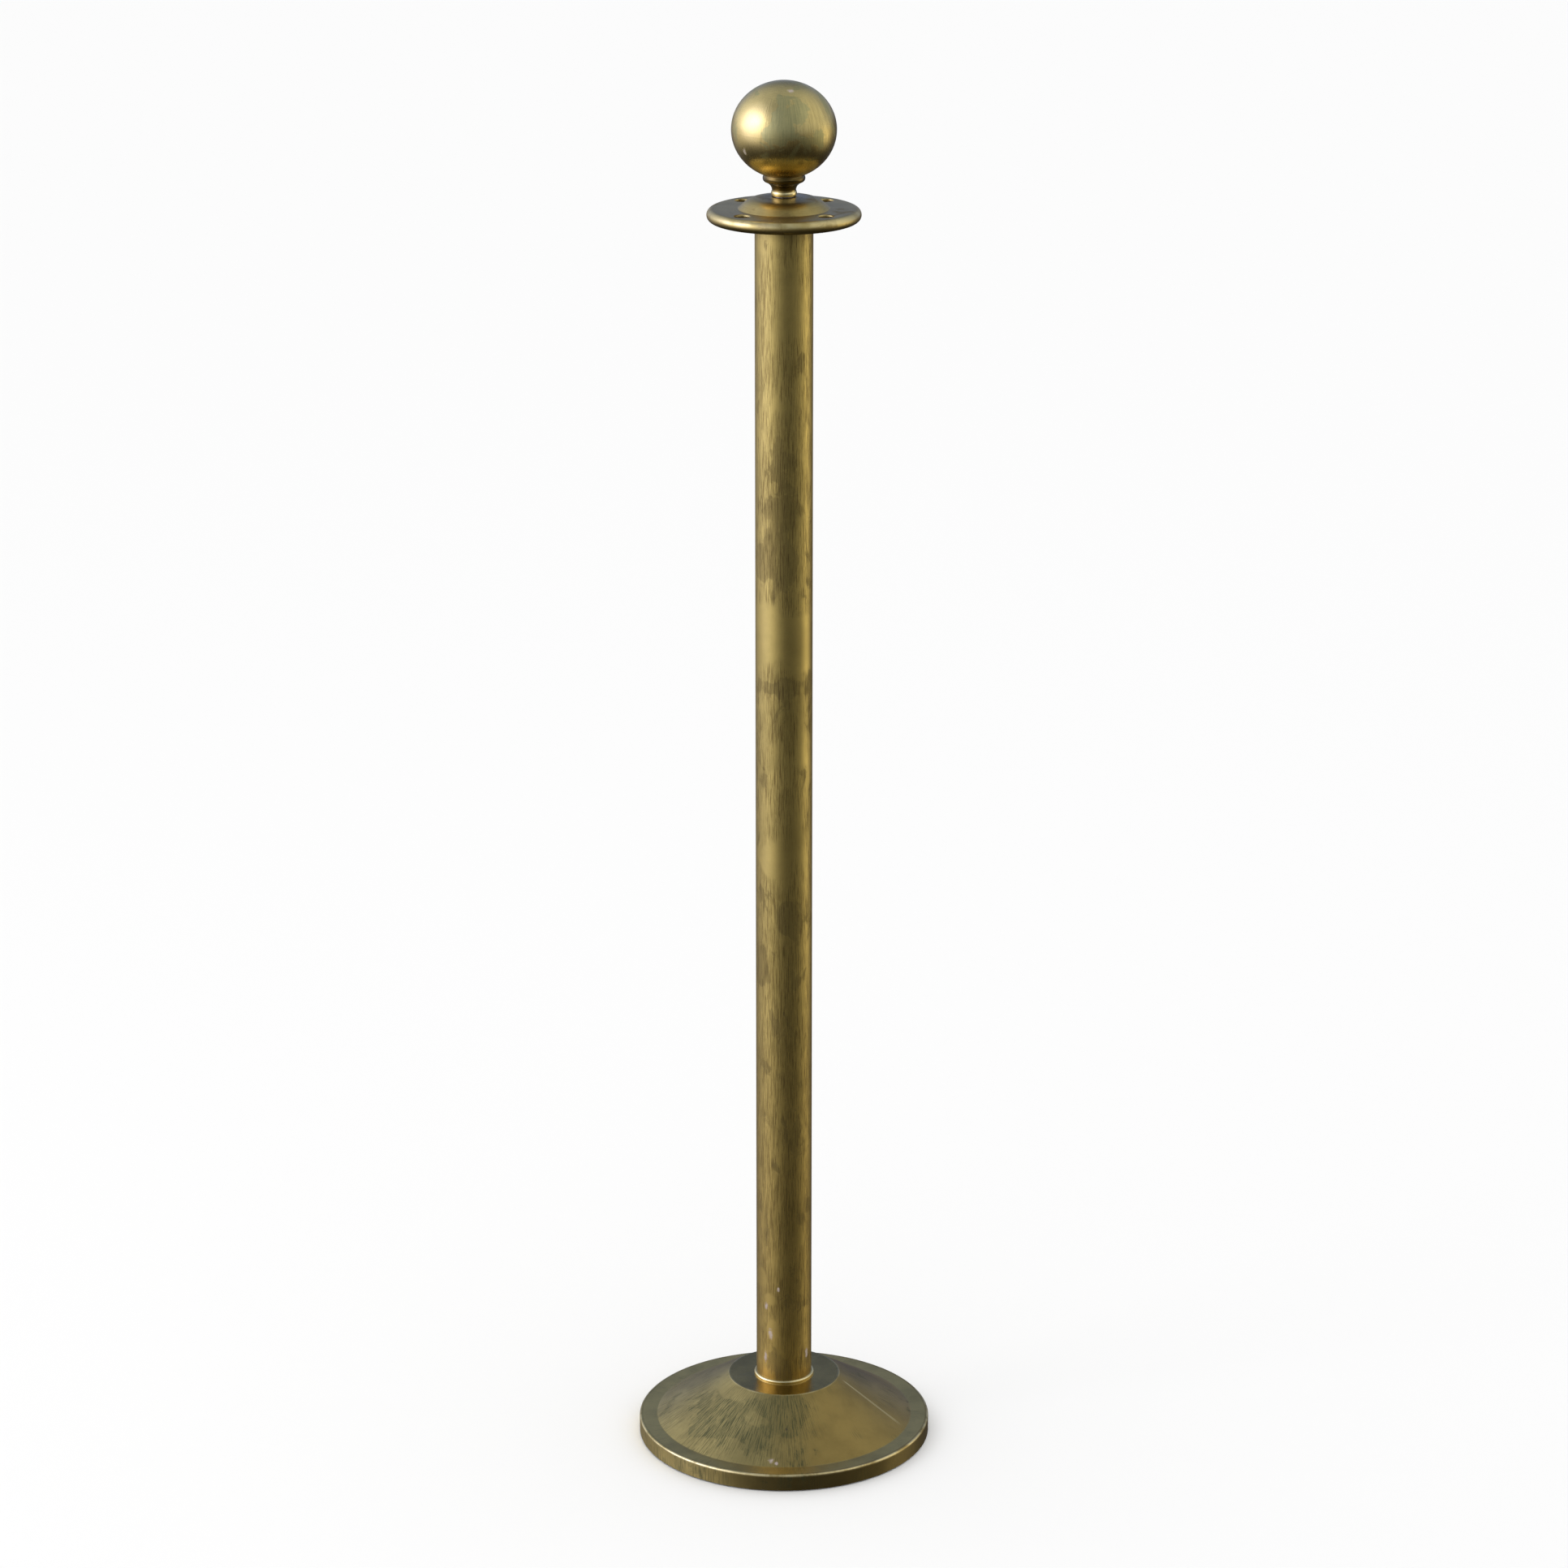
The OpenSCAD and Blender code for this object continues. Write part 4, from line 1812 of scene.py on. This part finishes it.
@dataclass
class Studio:
    """A pale floor, soft surroundings and the camera.

    Attributes:
        lens: The camera's focal length, in millimetres.
        sensor: The width of its sensor, in millimetres.
        distance: How far it stands from the point that it aims at.
        elevation: How far it looks down, in degrees.
        aim_height: The height of the point that it aims at.
        floor_size: The length of the floor's sides.
        floor_grey: How pale the floor is.
        wall_light: How bright the walls are that light the floor.
        glows: What the metal mirrors.
        ground: The colour that the metal mirrors below the horizon.
        sky: The colour that it mirrors above it.
        horizon: Where the one gives way to the other, as the sine of the elevation.
        dim_below: Where the surroundings grow dim, as the sine of the elevation.
        dimmest: The share of their light that is left straight below.
        lamp_size: The width of the lamp.
        lamp_power: Its power in watts.
        lamp_place: Where it hangs.
        lamp_aim: The point that it lights.
    """

    lens: float = 109.18
    sensor: float = 36.0
    distance: float = 3.3494
    elevation: float = 17.92
    aim_height: float = 0.4979
    floor_size: float = 60.0
    floor_grey: float = 0.90
    wall_light: float = 1.08
    glows: tuple[Glow, ...] = (
        Glow(-81.0, 19.0, 20.0, (1.0, 1.03, 1.75), 2.7),
        Glow(-60.0, 8.0, 28.0, (1.0, 1.0, 1.12), 1.45),
        Glow(-118.0, 4.0, 25.0, (1.0, 1.0, 1.10), 0.75),
        Glow(-120.0, 46.0, 28.0, (1.0, 1.0, 1.15), 0.35),
        Glow(-12.0, -12.0, 18.0, (1.0, 0.98, 0.94), 0.10),
        Glow(103.0, -10.0, 13.0, (1.0, 0.92, 0.74), 1.60),
        Glow(82.0, 32.0, 34.0, (1.0, 0.96, 0.88), 0.74),
        Glow(180.0, 10.0, 30.0, (0.0, 0.2, 1.0), 0.10),
        Glow(180.0, 30.0, 15.0, (1.0, 1.10, 1.30), -0.21))
    ground: Colour = (0.080, 0.074, 0.066)
    sky: Colour = (0.310, 0.365, 0.480)
    horizon: Point = (-0.07, 0.09)
    dim_below: Point = (-0.60, -0.30)
    dimmest: float = 0.4
    lamp_size: float = 0.9
    lamp_power: float = 3.0
    lamp_place: Place = (-1.75, -0.85, 1.9)
    lamp_aim: Place = (0.0, 0.0, 0.85)

    def build(self) -> None:
        """Sets up floor, surroundings, lamp and camera."""
        self._camera()
        self._floor()
        self._surroundings()
        self._lamp()
        bpy.context.scene.view_settings.view_transform = "Standard"

    def _camera(self) -> None:
        """Places the camera, which looks along +Y and down on the stanchion."""
        data = bpy.data.cameras.new("camera")
        data.lens, data.sensor_width = self.lens, self.sensor
        camera = bpy.data.objects.new("camera", data)
        bpy.context.scene.collection.objects.link(camera)
        e = math.radians(self.elevation)
        back, up = self.distance * math.cos(e), self.distance * math.sin(e)
        camera.location = (0.0, -back, self.aim_height + up)
        camera.rotation_euler = (math.pi / 2 - e, 0.0, 0.0)
        bpy.context.scene.camera = camera

    def _floor(self) -> None:
        """Lays the pale floor."""
        half = self.floor_size / 2
        corners = [(-half, -half, 0.0), (half, -half, 0.0), (half, half, 0.0), (-half, half, 0.0)]
        mesh = bpy.data.meshes.new("floor")
        mesh.from_pydata(corners, [], [(0, 1, 2, 3)])
        floor = bpy.data.objects.new("floor", mesh)
        bpy.context.scene.collection.objects.link(floor)
        pale = bpy.data.materials.new("pale_floor")
        pale.use_nodes = True
        shader = pale.node_tree.nodes["Principled BSDF"]
        shader.inputs["Base Color"].default_value = (*[self.floor_grey] * 3, 1.0)
        shader.inputs["Roughness"].default_value = 0.9
        shader.inputs["Specular IOR Level"].default_value = 0.0
        mesh.materials.append(pale)
        floor.visible_glossy = False

    def _surroundings(self) -> None:
        """White walls for the floor, and soft glows for the metal to mirror."""
        world = bpy.data.worlds.new("studio")
        world.use_nodes = True
        bpy.context.scene.world = world
        g = Graph(world.node_tree)
        way = g.add("ShaderNodeTexCoord").outputs["Generated"]
        up = g.split(way)[2]
        light = g.mix(g.step(up, *self.horizon), self.ground, self.sky)
        for glow in self.glows:
            facing = g.math("MAXIMUM", g.vector("DOT_PRODUCT", way, glow.direction()), 0.0)
            amount = g.product(g.math("POWER", facing, glow.sharpness()), glow.power)
            light = g.vector("ADD", light, g.scaled(glow.colour, amount))
        light = g.scaled(light, g.step(up, *self.dim_below, self.dimmest, 1.0))
        mirror, walls = g.add("ShaderNodeBackground"), g.add("ShaderNodeBackground")
        g.feed(mirror.inputs["Color"], light)
        walls.inputs["Color"].default_value = (1.0, 1.0, 1.0, 1.0)
        walls.inputs["Strength"].default_value = self.wall_light
        choose = g.add("ShaderNodeMixShader")
        g.feed(choose.inputs[0], g.add("ShaderNodeLightPath").outputs["Is Glossy Ray"])
        g.feed(choose.inputs[1], walls.outputs[0])
        g.feed(choose.inputs[2], mirror.outputs[0])
        g.feed(g.add("ShaderNodeOutputWorld").inputs[0], choose.outputs[0])

    def _lamp(self) -> None:
        """Hangs a wide soft lamp on the left, in front."""
        data = bpy.data.lights.new("key", "AREA")
        data.shape, data.size, data.energy = "DISK", self.lamp_size, self.lamp_power
        lamp = bpy.data.objects.new("key", data)
        bpy.context.scene.collection.objects.link(lamp)
        lamp.location = self.lamp_place
        way = Vector(self.lamp_aim) - Vector(self.lamp_place)
        lamp.rotation_euler = way.to_track_quat("-Z", "Y").to_euler()


def main() -> None:
    """Builds the studio and the stanchion."""
    logging.basicConfig(level=logging.INFO, format="%(name)s: %(message)s")
    Studio().build()
    dresser = Dresser()
    wide, fine = Lathe(segments=192), Lathe(segments=128)
    for part in (Base(wide, dresser), Post(fine, dresser), Collar(wide, dresser), Finial(fine, dresser)):
        part.build()
        log.info("built %s", type(part).__name__)


if __name__ == "__main__":
    main()
